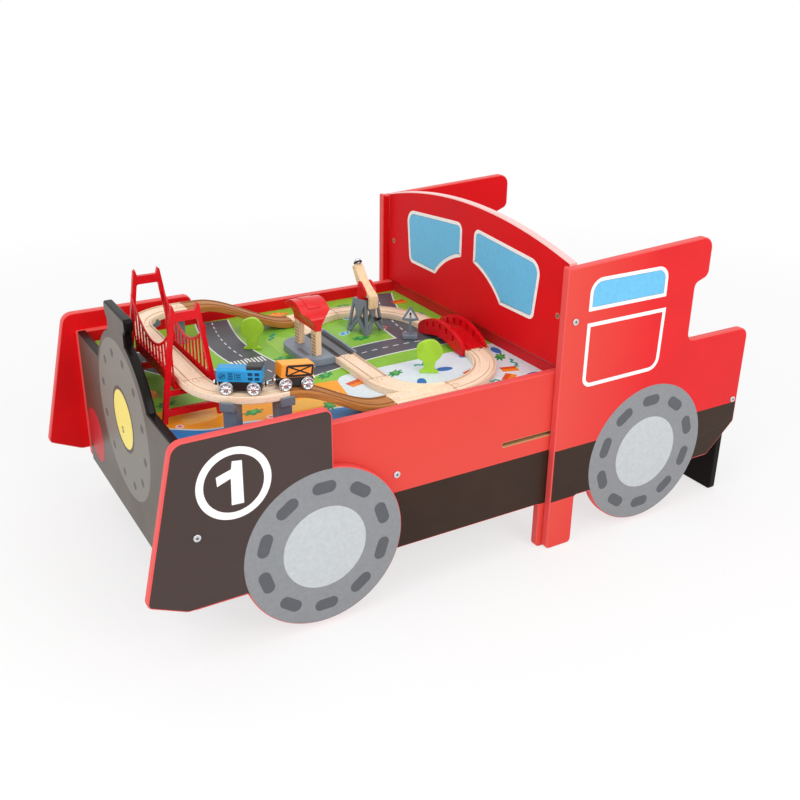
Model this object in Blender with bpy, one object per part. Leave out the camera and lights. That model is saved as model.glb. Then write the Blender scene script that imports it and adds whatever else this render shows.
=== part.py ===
"""Ride-in engine play table with a wooden railway set.

The table is a flat-pack of painted boards shaped like a railway engine: a nose board, two
side panels, two fender boards with wheel discs, a cab with a windshield, a seat and a back.
A printed play board lies inside the box and carries a wooden railway.

Frame: +X runs from the nose to the cab, -Y is the near side with the number, +Z is up.
The origin is on the floor under the middle of the table. Units are metres.
"""
import math

import bmesh
import bpy
from mathutils import Matrix, Vector
from mathutils.geometry import tessellate_polygon

# Whole table
TABLE_LENGTH = 1.175
TABLE_WIDTH = 0.619
BOARD = 0.015
GAP = 0.0003
EDGE_EASE = 0.0015

# Box of the table
SIDE_TOP_Z = 0.3437
SIDE_BOTTOM_Z = 0.0902
SIDE_REAR_X = 0.205
SIDE_LEG_WIDTH = 0.064
SIDE_REAR_LEG_X = 0.126
NOSE_SETBACK = 0.0721
REAR_WALL_X = 0.157
REAR_WALL_BOTTOM_Z = 0.110
PLAY_BOARD_TOP_Z = 0.322
PLAY_BOARD_THICKNESS = 0.012
PLAY_BOARD_TONGUE = 0.004
BEAM_X = -0.170
BEAM_BOTTOM_Z = 0.205
SLOT_X = 0.0375
SLOT_LENGTH = 0.108
SLOT_Z = 0.2262
SLOT_HEIGHT = 0.0063

# Wheel discs, which are part of the fender and cab boards
WHEEL_RADIUS = 0.1365
WHEEL_AXIS_Z = 0.1444
FRONT_WHEEL_X = -0.3054
REAR_WHEEL_X = 0.3571
WHEEL_FILLET = 0.006

# Fender boards
FENDER_TOP_Z = 0.3766
FENDER_BOTTOM_Z = 0.102
FENDER_REAR_X = -0.289
FENDER_RAKE = 0.053
FENDER_CHIN_Z = 0.129
FENDER_CHIN_LENGTH = 0.058

# Nose board
NOSE_BOTTOM_Z = 0.0832
NOSE_SHOULDER_Z = 0.348
SMOKEBOX_RADIUS = 0.154
SMOKEBOX_AXIS_Z = 0.2795
CHIMNEY_TOP_Z = 0.472
CHIMNEY_CAP_Z = 0.455
CHIMNEY_NECK_Z = 0.444
CHIMNEY_CAP_HALF = 0.058
CHIMNEY_NECK_HALF = 0.047

# Cab
CAB_FRONT_X = 0.1378
CAB_TOP_Z = 0.5414
CAB_UPPER_REAR_X = 0.460
CAB_LIP_Z = 0.470
CAB_NOTCH_X = 0.430
CAB_NOTCH_TOP_Z = 0.459
ARMREST_Z = 0.3513
CAB_BOTTOM_Z = 0.0968
CAB_CHAMFER_X = 0.525
CAB_CHAMFER_Z = 0.156
CAB_LEG_WIDTH = 0.056
WINDSHIELD_X = 0.1526
WINDSHIELD_SIDE_Z = 0.530
WINDSHIELD_CROWN_Z = 0.569
REAR_PANEL_INSET = 0.0055
REAR_PANEL_TOP_Z = 0.275
REAR_PANEL_BOTTOM_Z = 0.0968
REAR_FOOT_WIDTH = 0.085
SEAT_TOP_Z = 0.220
SEAT_FRONT_X = 0.300
SEAT_TONGUE = 0.005
SEAT_REBATE = 0.004

# Fasteners
BOLT_RADIUS = 0.003
BOLT_HEAD_RADIUS = 0.006
BOLT_HEAD_HEIGHT = 0.0022
BOLT_REACH = 0.030
BOLT_CLEARANCE = 0.0004
NUT_RADIUS = 0.005
NUT_LENGTH = 0.012
NUT_CLEARANCE = 0.0003
NUT_INSET = 0.022
NUT_SINK = 0.0006
NOSE_BOLT_Z = 0.223
BEAM_BOLT_Z = 0.229
WINDSHIELD_BOLT_Z = 0.434
REAR_PANEL_BOLT_Z = 0.205

# Railway
TRACK_WIDTH = 0.040
TRACK_THICKNESS = 0.012
GROOVE_OFFSET = 0.0128
GROOVE_WIDTH = 0.0095
GROOVE_DEPTH = 0.002
HIGH_TRACK_RISE = 0.068
BRIDGE_X = -0.438
NEAR_CURVE_RADIUS = 0.095
FAR_CURVE_RADIUS = 0.080
BRIDGE_TRACK_Y = (-0.136, 0.125)
NEAR_RAMP_START_X = -0.330
FAR_RAMP_START_X = -0.335
NEAR_RAMP_LEVELS = (0.0, 0.015)
FAR_RAMP_LEVELS = (0.0275, 0.0)
NEAR_RAMP_END_X = -0.150
FAR_RAMP_END_X = -0.130
NEAR_LINE_Y = -0.240
FAR_LINE_Y = 0.187
LOOP_RADIUS = 0.130
LOOP_CENTRE_X = -0.035
LINK_RADIUS = 0.090
ARCHED_Y = (-0.118, 0.034)
ARCHED_FLOOR_RISE = 0.013
ARCHED_WALL_END_Z = 0.338
ARCHED_WALL_CREST_Z = 0.366
ARCHED_WALL_THICKNESS = 0.0065
ARCHED_WALL_LAP = 0.0005
ARCHED_SLITS = 5

# Suspension bridge
TOWER_X = (-0.442, -0.436)
TOWER_Y = (-0.130, 0.075)
TOWER_THICKNESS = 0.008
TOWER_HEIGHT = 0.187
TOWER_FOOT_HALF = 0.0485
TOWER_TOP_HALF = 0.022
TOWER_LEG = 0.0075
PANEL_THICKNESS = 0.003
PANEL_HALF = 0.0290
DECK_THICKNESS = 0.004
CABLE_SAG_Z = 0.022
CABLE_END_Z = 0.098

# Piers: foot, shaft and cap across the track, and each pier's spoke with its shift along X and out
PIER_FOOT_HALF = 0.021
PIER_HALF = 0.0125
PIER_CAP_HALF = 0.020
PIER_THICKNESS = 0.022
PIER_CLEARANCE = 0.0010
PIER_SPOTS = ((130.0, 0.0, 0.005), (90.0, 0.008, 0.0))

# Station
STATION_Y = (-0.032, 0.097)
PLATFORM_WIDTH = 0.055
PLATFORM_RISE = 0.002
PLATFORM_Y = (-0.036, 0.090)
PLATFORM_CURVE = 0.034
POST_X = -0.170
STATION_POST_Y = (-0.0115, 0.0575)
POST_WIDTH = 0.019
POST_THICKNESS = 0.011
ROOF_LOW_Z = 0.382
ROOF_EAVES_Z = 0.404
ROOF_CREST_Z = 0.430
ROOF_TIP = 0.014
ROOF_HALF_LENGTH = 0.0445
ROOF_HALF_WIDTH = 0.0275
ROOF_WAIST_HALF = 0.006
ROOF_WAIST_Z = 0.386

# Crane
CRANE_X = -0.016
CRANE_Y = 0.090
CRANE_YAW = 20.0
CRANE_FOOT_HALF = 0.0256
CRANE_TOP_HALF = 0.0165
CRANE_TOWER_HEIGHT = 0.066
CRANE_MEMBER = 0.0045
TURNTABLE_RADIUS = 0.016
TURNTABLE_THICKNESS = 0.004
CHEEK_HEIGHT = 0.0285
CHEEK_THICKNESS = 0.003
BOOM_WIDTH = 0.018
BOOM_PIVOT_RISE = 0.0155
BOOM_REACH = 0.037
BOOM_TIP_RISE = 0.039
BOOM_WEIGHT_Y = -0.0345
BOOM_WEIGHT_THICKNESS = 0.0077
BOOM_WEIGHT_DROP = 0.0335
PIN_RADIUS = 0.002
MAGNET_BALL_RADIUS = 0.0052
KNOB_SPAN = 0.015
KNOB_STEM_RADIUS = 0.0013

# Vehicles
ENGINE_LENGTH = 0.067
WAGON_LENGTH = 0.053
VEHICLE_WIDTH = 0.024
ENGINE_WHEELBASE = 0.0407
WAGON_WHEELBASE = 0.036
TOY_WHEEL_RADIUS = 0.0104
TOY_WHEEL_WIDTH = 0.004
AXLE_RADIUS = 0.002
AXLE_CLEARANCE = 0.0003
CHASSIS_WIDTH = 0.0195
CHASSIS_TOP = 0.0190
CHASSIS_BOTTOM = 0.0045
SOLE_PLATE = 0.0022
BODY_HEIGHT = 0.0205
BODY_SHOULDER = 0.0045
ENGINE_ROOF_HEIGHT = 0.0035
ENGINE_ROOF_LENGTH = 0.023
ENGINE_ANGLE = 32.0
WAGON_X = -0.3165
SLOPE_ALLOWANCE = 0.0006
MAGNET_RADIUS = 0.004
MAGNET_LENGTH = 0.0085
MAGNET_ROOT = 0.002
MAGNET_Z = 0.0135

# Small scenery
TREE_HEIGHT = 0.061
TREE_THICKNESS = 0.008
TREE_TURN = -31.0
CROWN_HALF_HEIGHT = 0.0212
TREES = {"tree_near": (-0.022, -0.150, 0.0232), "tree_far": (-0.245, 0.100, 0.0212)}
SIGN_X = 0.0365
SIGN_Y = 0.010
SIGN_HEIGHT = 0.062

# Values that follow from the sizes above
FRONT_X = -TABLE_LENGTH / 2
REAR_X = TABLE_LENGTH / 2
OUTER_Y = TABLE_WIDTH / 2
OUTER_INNER_Y = OUTER_Y - BOARD
SIDE_OUTER_Y = OUTER_INNER_Y - GAP
SIDE_INNER_Y = SIDE_OUTER_Y - BOARD
BOX_HALF = SIDE_INNER_Y - GAP
CAB_HALF = OUTER_INNER_Y - GAP
NOSE_X = FRONT_X + NOSE_SETBACK
NOSE_REAR_X = NOSE_X + BOARD
REAR_PANEL_X = REAR_X - REAR_PANEL_INSET - BOARD
TRACK_BASE_Z = PLAY_BOARD_TOP_Z + GAP
GROUND_TRACK_Z = TRACK_BASE_Z + TRACK_THICKNESS
HIGH_TRACK_Z = PLAY_BOARD_TOP_Z + HIGH_TRACK_RISE
NEAR_HIGH_Y = BRIDGE_TRACK_Y[0] - NEAR_CURVE_RADIUS
FAR_HIGH_Y = BRIDGE_TRACK_Y[1] + FAR_CURVE_RADIUS
LOOP_X = LOOP_CENTRE_X + LOOP_RADIUS
LINK_X = LOOP_CENTRE_X - LINK_RADIUS
WHEEL_Y = GROOVE_OFFSET
AXLE_Z = TOY_WHEEL_RADIUS - GROOVE_DEPTH + GAP
BODY_Z = CHASSIS_TOP + GAP

PI = math.pi
ARC_STEP = math.radians(20.0)
SMALL_ARC_STEP = math.radians(45.0)
SMALL_RADIUS = 0.0065

for old in list(bpy.data.objects):
    bpy.data.objects.remove(old, do_unlink=True)


# Shapes in a plane

def arc(cu, cv, radius, start, end, step=ARC_STEP):
    """Points of a circle arc about (cu, cv), from one angle to another in radians."""
    count = max(2, math.ceil(abs(end - start) / step))
    return [(cu + radius * math.cos(start + (end - start) * i / count),
             cv + radius * math.sin(start + (end - start) * i / count)) for i in range(count + 1)]


def rounded(corners):
    """Outline from corners (u, v, radius), each turned into an arc of its radius."""
    outline = []
    for i, (u, v, radius) in enumerate(corners):
        here = Vector((u, v))
        before = (Vector(corners[i - 1][:2]) - here).normalized()
        after = (Vector(corners[(i + 1) % len(corners)][:2]) - here).normalized()
        if radius <= 0:
            outline.append((u, v))
            continue
        half = before.angle(after) / 2
        centre = here + (before + after).normalized() * (radius / math.sin(half))
        reach = radius / math.tan(half)
        first = here + before * reach - centre
        turn = first.angle_signed(here + after * reach - centre)
        step = ARC_STEP if radius > SMALL_RADIUS else SMALL_ARC_STEP
        count = max(1, math.ceil(abs(turn) / step))
        for k in range(count + 1):
            spoke = Matrix.Rotation(-turn * k / count, 2) @ first
            outline.append((centre.x + spoke.x, centre.y + spoke.y))
    return outline


def inset(outline, distance):
    """The outline moved inwards by a distance, with mitred corners."""
    area = sum(a[0] * b[1] - b[0] * a[1] for a, b in zip(outline, outline[1:] + outline[:1]))
    side = 1.0 if area > 0 else -1.0
    moved = []
    for i, (u, v) in enumerate(outline):
        back = Vector(outline[i - 1])
        here = Vector((u, v))
        ahead = Vector(outline[(i + 1) % len(outline)])
        first = (here - back).normalized()
        second = (ahead - here).normalized()
        normal = Vector((-first.y - second.y, first.x + second.x)) * side
        scale = 1.0 + first.dot(second)
        moved.append((u + normal.x * distance / scale, v + normal.y * distance / scale))
    return moved


def disc_outline(cu, cv, radius, count=16):
    """A full circle as an outline."""
    return [(cu + radius * math.cos(2 * PI * i / count), cv + radius * math.sin(2 * PI * i / count))
            for i in range(count)]


# Solids

PLANES = {"XZ": lambda u, v, w: (u, w, v), "YZ": lambda u, v, w: (w, u, v), "XY": lambda u, v, w: (u, v, w)}


def finish_mesh(name, points, faces):
    """A mesh from points and faces with its faces turned outwards."""
    mesh = bpy.data.meshes.new(name)
    mesh.from_pydata(points, [], faces)
    work = bmesh.new()
    work.from_mesh(mesh)
    bmesh.ops.recalc_face_normals(work, faces=work.faces)
    work.to_mesh(mesh)
    work.free()
    return mesh


def plate_mesh(name, outer, low, high, plane, holes=(), ease=0.0):
    """A board: an outline with holes between two depths, its outer edges eased by a chamfer."""
    place = PLANES[plane]
    if ease > 0:
        outer_rings = [(low, inset(outer, ease)), (low + ease, outer), (high - ease, outer), (high, inset(outer, ease))]
    else:
        outer_rings = [(low, outer), (high, outer)]
    loops = [outer_rings] + [[(low, hole), (high, hole)] for hole in holes]
    points = []
    faces = []
    first_loops = []
    last_loops = []
    for rings in loops:
        starts = []
        for depth, ring in rings:
            starts.append(len(points))
            points += [place(u, v, depth) for u, v in ring]
        count = len(rings[0][1])
        for a, b in zip(starts, starts[1:]):
            faces += [(a + i, a + (i + 1) % count, b + (i + 1) % count, b + i) for i in range(count)]
        first_loops.append((starts[0], rings[0][1]))
        last_loops.append((starts[-1], rings[-1][1]))
    for caps in (first_loops, last_loops):
        index = [start + i for start, ring in caps for i in range(len(ring))]
        flat = [[Vector((u, v, 0.0)) for u, v in ring] for _, ring in caps]
        faces += [tuple(index[i] for i in triangle) for triangle in tessellate_polygon(flat)]
    return finish_mesh(name, points, faces)


def turned_mesh(name, profile, count=20):
    """A solid of revolution about Z from (radius, height) points that start and end on the axis."""
    points = []
    faces = []
    rings = []
    for radius, height in profile:
        if radius == 0:
            rings.append([len(points)])
            points.append((0.0, 0.0, height))
        else:
            rings.append(list(range(len(points), len(points) + count)))
            points += [(radius * math.cos(2 * PI * i / count), radius * math.sin(2 * PI * i / count), height)
                       for i in range(count)]
    for lower, upper in zip(rings, rings[1:]):
        for i in range(count):
            j = (i + 1) % count
            face = [lower[i % len(lower)], lower[j % len(lower)], upper[j % len(upper)], upper[i % len(upper)]]
            unique = list(dict.fromkeys(face))
            if len(unique) > 2:
                faces.append(tuple(unique))
    return finish_mesh(name, points, faces)


def swept_mesh(name, path, section):
    """A section (across, up) carried along a path of (x, y, z, heading)."""
    points = []
    faces = []
    for x, y, z, heading in path:
        points += [(x - math.sin(heading) * across, y + math.cos(heading) * across, z + up)
                   for across, up in section]
    count = len(section)
    for k in range(len(path) - 1):
        a = k * count
        b = a + count
        faces += [(a + i, a + (i + 1) % count, b + (i + 1) % count, b + i) for i in range(count)]
    flat = [[Vector((across, up, 0.0)) for across, up in section]]
    triangles = tessellate_polygon(flat)
    last = (len(path) - 1) * count
    faces += [tuple(triangle) for triangle in triangles]
    faces += [tuple(last + i for i in triangle) for triangle in triangles]
    return finish_mesh(name, points, faces)


def box_mesh(name, low, high):
    """A plain block between two corners."""
    outline = [(low[0], low[1]), (high[0], low[1]), (high[0], high[1]), (low[0], high[1])]
    return plate_mesh(name, outline, low[2], high[2], "XY")


def moved(mesh, matrix):
    """The mesh after a move or a turn."""
    mesh.transform(matrix)
    return mesh


def joined(name, meshes):
    """Several separate closed meshes as one mesh."""
    work = bmesh.new()
    for mesh in meshes:
        work.from_mesh(mesh)
        bpy.data.meshes.remove(mesh)
    result = bpy.data.meshes.new(name)
    work.to_mesh(result)
    work.free()
    return result


def combined(mesh, other, operation):
    """The exact union or difference of two closed meshes."""
    base = bpy.data.objects.new("combine_base", mesh)
    tool = bpy.data.objects.new("combine_tool", other)
    for item in (base, tool):
        bpy.context.scene.collection.objects.link(item)
    cut = base.modifiers.new("combine", "BOOLEAN")
    cut.operation = operation
    cut.solver = "EXACT"
    cut.object = tool
    bpy.context.view_layer.update()
    evaluated = base.evaluated_get(bpy.context.evaluated_depsgraph_get())
    result = bpy.data.meshes.new_from_object(evaluated)
    for item in (base, tool):
        bpy.data.objects.remove(item, do_unlink=True)
    return result


def rod(name, radius, start, end, axis, at, count=10):
    """A cylinder along one axis, from start to end, centred on the other two coordinates.

    Along X its corners are turned by half a step, so that none meets a corner of a rod along Y.
    """
    mesh = turned_mesh(name, [(0, start), (radius, start), (radius, end), (0, end)], count)
    if axis == "X":
        turn = Matrix.Rotation(PI / 2, 4, "Y") @ Matrix.Rotation(PI / count, 4, "Z")
        return moved(mesh, Matrix.Translation((0, at[0], at[1])) @ turn)
    if axis == "Y":
        turn = Matrix.Rotation(-PI / 2, 4, "X")
        return moved(mesh, Matrix.Translation((at[0], 0, at[1])) @ turn)
    return moved(mesh, Matrix.Translation((at[0], at[1], 0)))


# Materials and objects

def material(name, colour, roughness, metallic=0.0):
    """A Principled material of one colour."""
    made = bpy.data.materials.new(name)
    made.use_nodes = True
    shader = made.node_tree.nodes["Principled BSDF"]
    shader.inputs["Base Color"].default_value = (*colour, 1.0)
    shader.inputs["Roughness"].default_value = roughness
    shader.inputs["Metallic"].default_value = metallic
    made.diffuse_color = (*colour, 1.0)
    return made


RED_PAINT = material("red_paint", (0.78, 0.05, 0.06), 0.35)
BLACK_PAINT = material("black_paint", (0.03, 0.025, 0.022), 0.30)
PRINT_PAPER = material("play_print", (0.30, 0.55, 0.20), 0.45)
BARE_WOOD = material("bare_wood", (0.70, 0.52, 0.33), 0.60)
LIGHT_BEECH = material("light_beech", (0.80, 0.64, 0.44), 0.50)
DARK_BEECH = material("dark_beech", (0.55, 0.33, 0.14), 0.50)
RED_PLASTIC = material("red_plastic", (0.70, 0.02, 0.04), 0.30)
GREY_PLASTIC = material("grey_plastic", (0.16, 0.19, 0.22), 0.50)
BLACK_PLASTIC = material("black_plastic", (0.02, 0.02, 0.025), 0.40)
BLUE_PLASTIC = material("blue_plastic", (0.03, 0.25, 0.55), 0.35)
ORANGE_PAINT = material("orange_paint", (0.85, 0.35, 0.04), 0.40)
GREEN_PLASTIC = material("green_plastic", (0.38, 0.66, 0.04), 0.40)
STEEL = material("zinc_steel", (0.72, 0.72, 0.74), 0.30, 1.0)


def add(name, mesh, finish, smooth=False, parent=None, location=(0, 0, 0)):
    """One named sub-part."""
    mesh.name = name
    mesh.materials.clear()
    own = finish.copy()
    own.name = name + "_finish"
    mesh.materials.append(own)
    if smooth:
        mesh.shade_smooth()
        mesh.set_sharp_from_angle(angle=math.radians(40))
    item = bpy.data.objects.new(name, mesh)
    bpy.context.scene.collection.objects.link(item)
    item.parent = parent
    item.location = location
    return item


def frame_empty(name, location, yaw=0.0, parent=None, pitch=0.0):
    """An empty that carries a group of pieces; a pitch above 0 lowers its +X end."""
    item = bpy.data.objects.new(name, None)
    bpy.context.scene.collection.objects.link(item)
    item.location = location
    item.rotation_euler = (0, pitch, yaw)
    item.parent = parent
    return item


def side_range(side, inner, outer):
    """The lowest and highest y of a board on one side of the table."""
    return (inner, outer) if side > 0 else (-outer, -inner)


# Each bolt: x and z, y of the face under its head, y of the cross board's end that it enters
BOLTS = {
    "nose_panel": (NOSE_X + BOARD / 2, NOSE_BOLT_Z, OUTER_Y, BOX_HALF),
    "centre_beam": (BEAM_X, BEAM_BOLT_Z, SIDE_OUTER_Y, BOX_HALF),
    "windshield_panel": (WINDSHIELD_X + BOARD / 2, WINDSHIELD_BOLT_Z, OUTER_Y, CAB_HALF),
    "rear_panel": (REAR_PANEL_X + BOARD / 2, REAR_PANEL_BOLT_Z, OUTER_Y, CAB_HALF),
}
NUT_FROM_REAR = ("nose_panel", "centre_beam")
BOLT_HOLE = BOLT_RADIUS + BOLT_CLEARANCE


def bolt_holes(names):
    """Outlines of the bolt holes that a board on the side of the table needs."""
    return [disc_outline(BOLTS[name][0], BOLTS[name][1], BOLT_HOLE, 8) for name in names]


def nut_span(name, board_x):
    """Where a board's barrel nuts lie along x: sunk a little under the face they go in by."""
    if name in NUT_FROM_REAR:
        high = board_x + BOARD - NUT_SINK
        return high - NUT_LENGTH, high
    low = board_x + NUT_SINK
    return low, low + NUT_LENGTH


def cross_board(name, outline, x, half, finish, ease=EDGE_EASE):
    """A board across the table, drilled at both ends for its bolt and barrel nut."""
    mesh = plate_mesh(name, outline, x, x + BOARD, "YZ", ease=ease)
    if name in BOLTS:
        bolt_x, bolt_z, _, _ = BOLTS[name]
        low, high = nut_span(name, x)
        depth = NUT_SINK + GAP
        pocket_span = (low - GAP, high + depth) if name in NUT_FROM_REAR else (low - depth, high + GAP)
        for side in (-1, 1):
            ends = sorted((side * (half + GAP), side * (half - BOLT_REACH - GAP)))
            bore = rod("bore", BOLT_HOLE, *ends, "Y", (bolt_x, bolt_z), 8)
            pocket = rod("pocket", NUT_RADIUS + NUT_CLEARANCE, *pocket_span, "X",
                         (side * (half - NUT_INSET), bolt_z))
            mesh = combined(mesh, combined(bore, pocket, "UNION"), "DIFFERENCE")
    return add(name, mesh, finish)


# Boards of the table

def wheel_contact(bottom_z):
    """Where a disc of the wheel's radius leaves a straight lower edge, with its fillet.

    Returns the fillet circle's centre offset from the wheel axis and its contact angle.
    """
    drop = WHEEL_AXIS_Z - (bottom_z - WHEEL_FILLET)
    across = math.sqrt((WHEEL_RADIUS + WHEEL_FILLET) ** 2 - drop ** 2)
    return across, math.atan2(-drop, across)


def wheel_bottom(x, bottom_z, rising_end=None):
    """Lower edge from left of a wheel, around it and back, going towards +X."""
    across, angle = wheel_contact(bottom_z)
    left = arc(x - across, bottom_z - WHEEL_FILLET, WHEEL_FILLET, PI / 2, -angle)
    left_angle = PI - angle
    last_angle = 2 * PI + angle if rising_end is None else 2 * PI + rising_end
    rim = arc(x, WHEEL_AXIS_Z, WHEEL_RADIUS, left_angle, last_angle, math.radians(9))
    outline = left[:-1] + rim
    if rising_end is None:
        right = arc(x + across, bottom_z - WHEEL_FILLET, WHEEL_FILLET, PI + angle, PI / 2)
        outline = outline[:-1] + right
    return outline


def fender_outline():
    """Front board with a raked nose, a chin and the front wheel's disc.

    The chin's corner is moved until its arc just touches the front of the table.
    """
    top_front = FRONT_X + FENDER_RAKE
    chin_x = FRONT_X
    for _ in range(4):
        corners = rounded([(FENDER_REAR_X, FENDER_TOP_Z, 0.013), (top_front, FENDER_TOP_Z, 0.022),
                           (chin_x, FENDER_CHIN_Z, 0.010), (FRONT_X + FENDER_CHIN_LENGTH, FENDER_BOTTOM_Z, 0.020),
                           (FRONT_WHEEL_X, FENDER_BOTTOM_Z, 0)])[:-1]
        chin_x -= min(u for u, _ in corners) - FRONT_X
    rise = math.acos((FENDER_REAR_X - FRONT_WHEEL_X) / WHEEL_RADIUS)
    return corners + wheel_bottom(FRONT_WHEEL_X, FENDER_BOTTOM_Z, rise)


def cab_outline():
    """Cab side with its leg, the rear wheel's disc, armrest, notch and roof line."""
    leg_end = CAB_FRONT_X + CAB_LEG_WIDTH
    start = rounded([(CAB_FRONT_X, CAB_TOP_Z, 0.004), (CAB_FRONT_X, 0.0, 0.008), (leg_end, 0.0, 0.008),
                     (leg_end, CAB_BOTTOM_Z, 0.005), (REAR_WHEEL_X, CAB_BOTTOM_Z, 0)])[:-1]
    end = rounded([(REAR_WHEEL_X, CAB_BOTTOM_Z, 0), (CAB_CHAMFER_X, CAB_BOTTOM_Z, 0.006),
                   (REAR_X, CAB_CHAMFER_Z, 0.006), (REAR_X, ARMREST_Z, 0.020),
                   (CAB_NOTCH_X, ARMREST_Z, 0.016), (CAB_NOTCH_X, CAB_NOTCH_TOP_Z, 0.012),
                   (CAB_UPPER_REAR_X, CAB_LIP_Z, 0.014), (CAB_UPPER_REAR_X, CAB_TOP_Z, 0.022),
                   (CAB_FRONT_X, CAB_TOP_Z, 0)])[1:-1]
    return start + wheel_bottom(REAR_WHEEL_X, CAB_BOTTOM_Z) + end


def side_outline():
    """Long side panel with a front leg behind the wheel disc and a rear leg."""
    leg_front = FRONT_WHEEL_X - SIDE_LEG_WIDTH / 2
    rear_leg_end = SIDE_REAR_LEG_X + SIDE_LEG_WIDTH
    return rounded([(NOSE_X, SIDE_TOP_Z, 0.003), (NOSE_X, SIDE_BOTTOM_Z, 0.003),
                    (leg_front, SIDE_BOTTOM_Z, 0.005), (leg_front, 0.0, 0.008),
                    (leg_front + SIDE_LEG_WIDTH, 0.0, 0.008), (leg_front + SIDE_LEG_WIDTH, SIDE_BOTTOM_Z, 0.005),
                    (SIDE_REAR_LEG_X, SIDE_BOTTOM_Z, 0.005), (SIDE_REAR_LEG_X, 0.0, 0.008),
                    (rear_leg_end, 0.0, 0.008), (rear_leg_end, SIDE_BOTTOM_Z, 0.005),
                    (SIDE_REAR_X, SIDE_BOTTOM_Z, 0.003), (SIDE_REAR_X, SIDE_TOP_Z, 0.003)])


def slot_outline():
    """Long narrow slot through a side panel, rounded at its ends."""
    end = SLOT_HEIGHT * 0.3
    return rounded([(SLOT_X, SLOT_Z, end), (SLOT_X + SLOT_LENGTH, SLOT_Z, end),
                    (SLOT_X + SLOT_LENGTH, SLOT_Z + SLOT_HEIGHT, end), (SLOT_X, SLOT_Z + SLOT_HEIGHT, end)])


def build_side_boards():
    """Fender, side panel and cab side on both sides."""
    for side, label in ((-1, "near"), (1, "far")):
        low, high = side_range(side, OUTER_INNER_Y, OUTER_Y)
        fender = plate_mesh("fender", fender_outline(), low, high, "XZ", bolt_holes(["nose_panel"]), EDGE_EASE)
        cab_holes = bolt_holes(["windshield_panel", "rear_panel"])
        cab = plate_mesh("cab", cab_outline(), low, high, "XZ", cab_holes, EDGE_EASE)
        low, high = side_range(side, SIDE_INNER_Y, SIDE_OUTER_Y)
        holes = bolt_holes(["nose_panel", "centre_beam"]) + [slot_outline()]
        panel = plate_mesh("panel", side_outline(), low, high, "XZ", holes, EDGE_EASE)

        groove = side_range(side, SIDE_INNER_Y - GAP, SIDE_INNER_Y + PLAY_BOARD_TONGUE)
        low_corner = (NOSE_REAR_X, groove[0], PLAY_BOARD_TOP_Z - PLAY_BOARD_THICKNESS - GAP)
        high_corner = (REAR_WALL_X, groove[1], PLAY_BOARD_TOP_Z + GAP)
        panel = combined(panel, box_mesh("groove", low_corner, high_corner), "DIFFERENCE")
        groove = side_range(side, OUTER_INNER_Y - GAP, OUTER_INNER_Y + SEAT_TONGUE)
        low_corner = (SEAT_FRONT_X - GAP, groove[0], SEAT_TOP_Z - BOARD - GAP)
        high_corner = (REAR_PANEL_X, groove[1], SEAT_TOP_Z - SEAT_REBATE + GAP)
        cab = combined(cab, box_mesh("groove", low_corner, high_corner), "DIFFERENCE")
        add("fender_" + label, fender, BLACK_PAINT)
        add("side_panel_" + label, panel, RED_PAINT)
        add("cab_side_" + label, cab, RED_PAINT)


def nose_outline():
    """Front board: shoulders, smokebox arc and chimney."""
    shoulder = math.asin((NOSE_SHOULDER_Z - SMOKEBOX_AXIS_Z) / SMOKEBOX_RADIUS)
    neck = math.acos(CHIMNEY_NECK_HALF / SMOKEBOX_RADIUS)
    right = arc(0, SMOKEBOX_AXIS_Z, SMOKEBOX_RADIUS, shoulder, neck, math.radians(8))
    left = [(-u, v) for u, v in reversed(right)]
    neck_z = right[-1][1]
    cap = rounded([(CHIMNEY_NECK_HALF, neck_z, 0), (CHIMNEY_NECK_HALF, CHIMNEY_NECK_Z, 0.004),
                   (CHIMNEY_CAP_HALF, CHIMNEY_CAP_Z, 0.004), (CHIMNEY_CAP_HALF, CHIMNEY_TOP_Z, 0.006),
                   (-CHIMNEY_CAP_HALF, CHIMNEY_TOP_Z, 0.006), (-CHIMNEY_CAP_HALF, CHIMNEY_CAP_Z, 0.004),
                   (-CHIMNEY_NECK_HALF, CHIMNEY_NECK_Z, 0.004), (-CHIMNEY_NECK_HALF, neck_z, 0)])[1:-1]
    base = rounded([(-BOX_HALF, NOSE_SHOULDER_Z, 0.006), (-BOX_HALF, NOSE_BOTTOM_Z, 0.003),
                    (BOX_HALF, NOSE_BOTTOM_Z, 0.003), (BOX_HALF, NOSE_SHOULDER_Z, 0.006)])
    return right + cap + left + base


def windshield_outline():
    """Cab front with a crowned top edge, a circle arc through the two ends and the crown."""
    rise = WINDSHIELD_CROWN_Z - WINDSHIELD_SIDE_Z
    radius = (CAB_HALF ** 2 + rise ** 2) / (2 * rise)
    reach = math.asin(CAB_HALF / radius)
    crown = arc(0, WINDSHIELD_CROWN_Z - radius, radius, PI / 2 - reach, PI / 2 + reach, math.radians(4))
    return crown + [(-CAB_HALF, SIDE_TOP_Z + GAP), (CAB_HALF, SIDE_TOP_Z + GAP)]


def rear_panel_outline():
    """Seat back with a foot at each end."""
    foot = CAB_HALF - REAR_FOOT_WIDTH
    return rounded([(-CAB_HALF, REAR_PANEL_TOP_Z, 0.006), (-CAB_HALF, 0.0, 0.006), (-foot, 0.0, 0.006),
                    (-foot, REAR_PANEL_BOTTOM_Z, 0.010), (foot, REAR_PANEL_BOTTOM_Z, 0.010),
                    (foot, 0.0, 0.006), (CAB_HALF, 0.0, 0.006), (CAB_HALF, REAR_PANEL_TOP_Z, 0.006)])


def rectangle(low_u, low_v, high_u, high_v, radius=0.0):
    """A rectangle, with rounded corners if a radius is given."""
    return rounded([(low_u, low_v, radius), (high_u, low_v, radius), (high_u, high_v, radius), (low_u, high_v, radius)])


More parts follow.
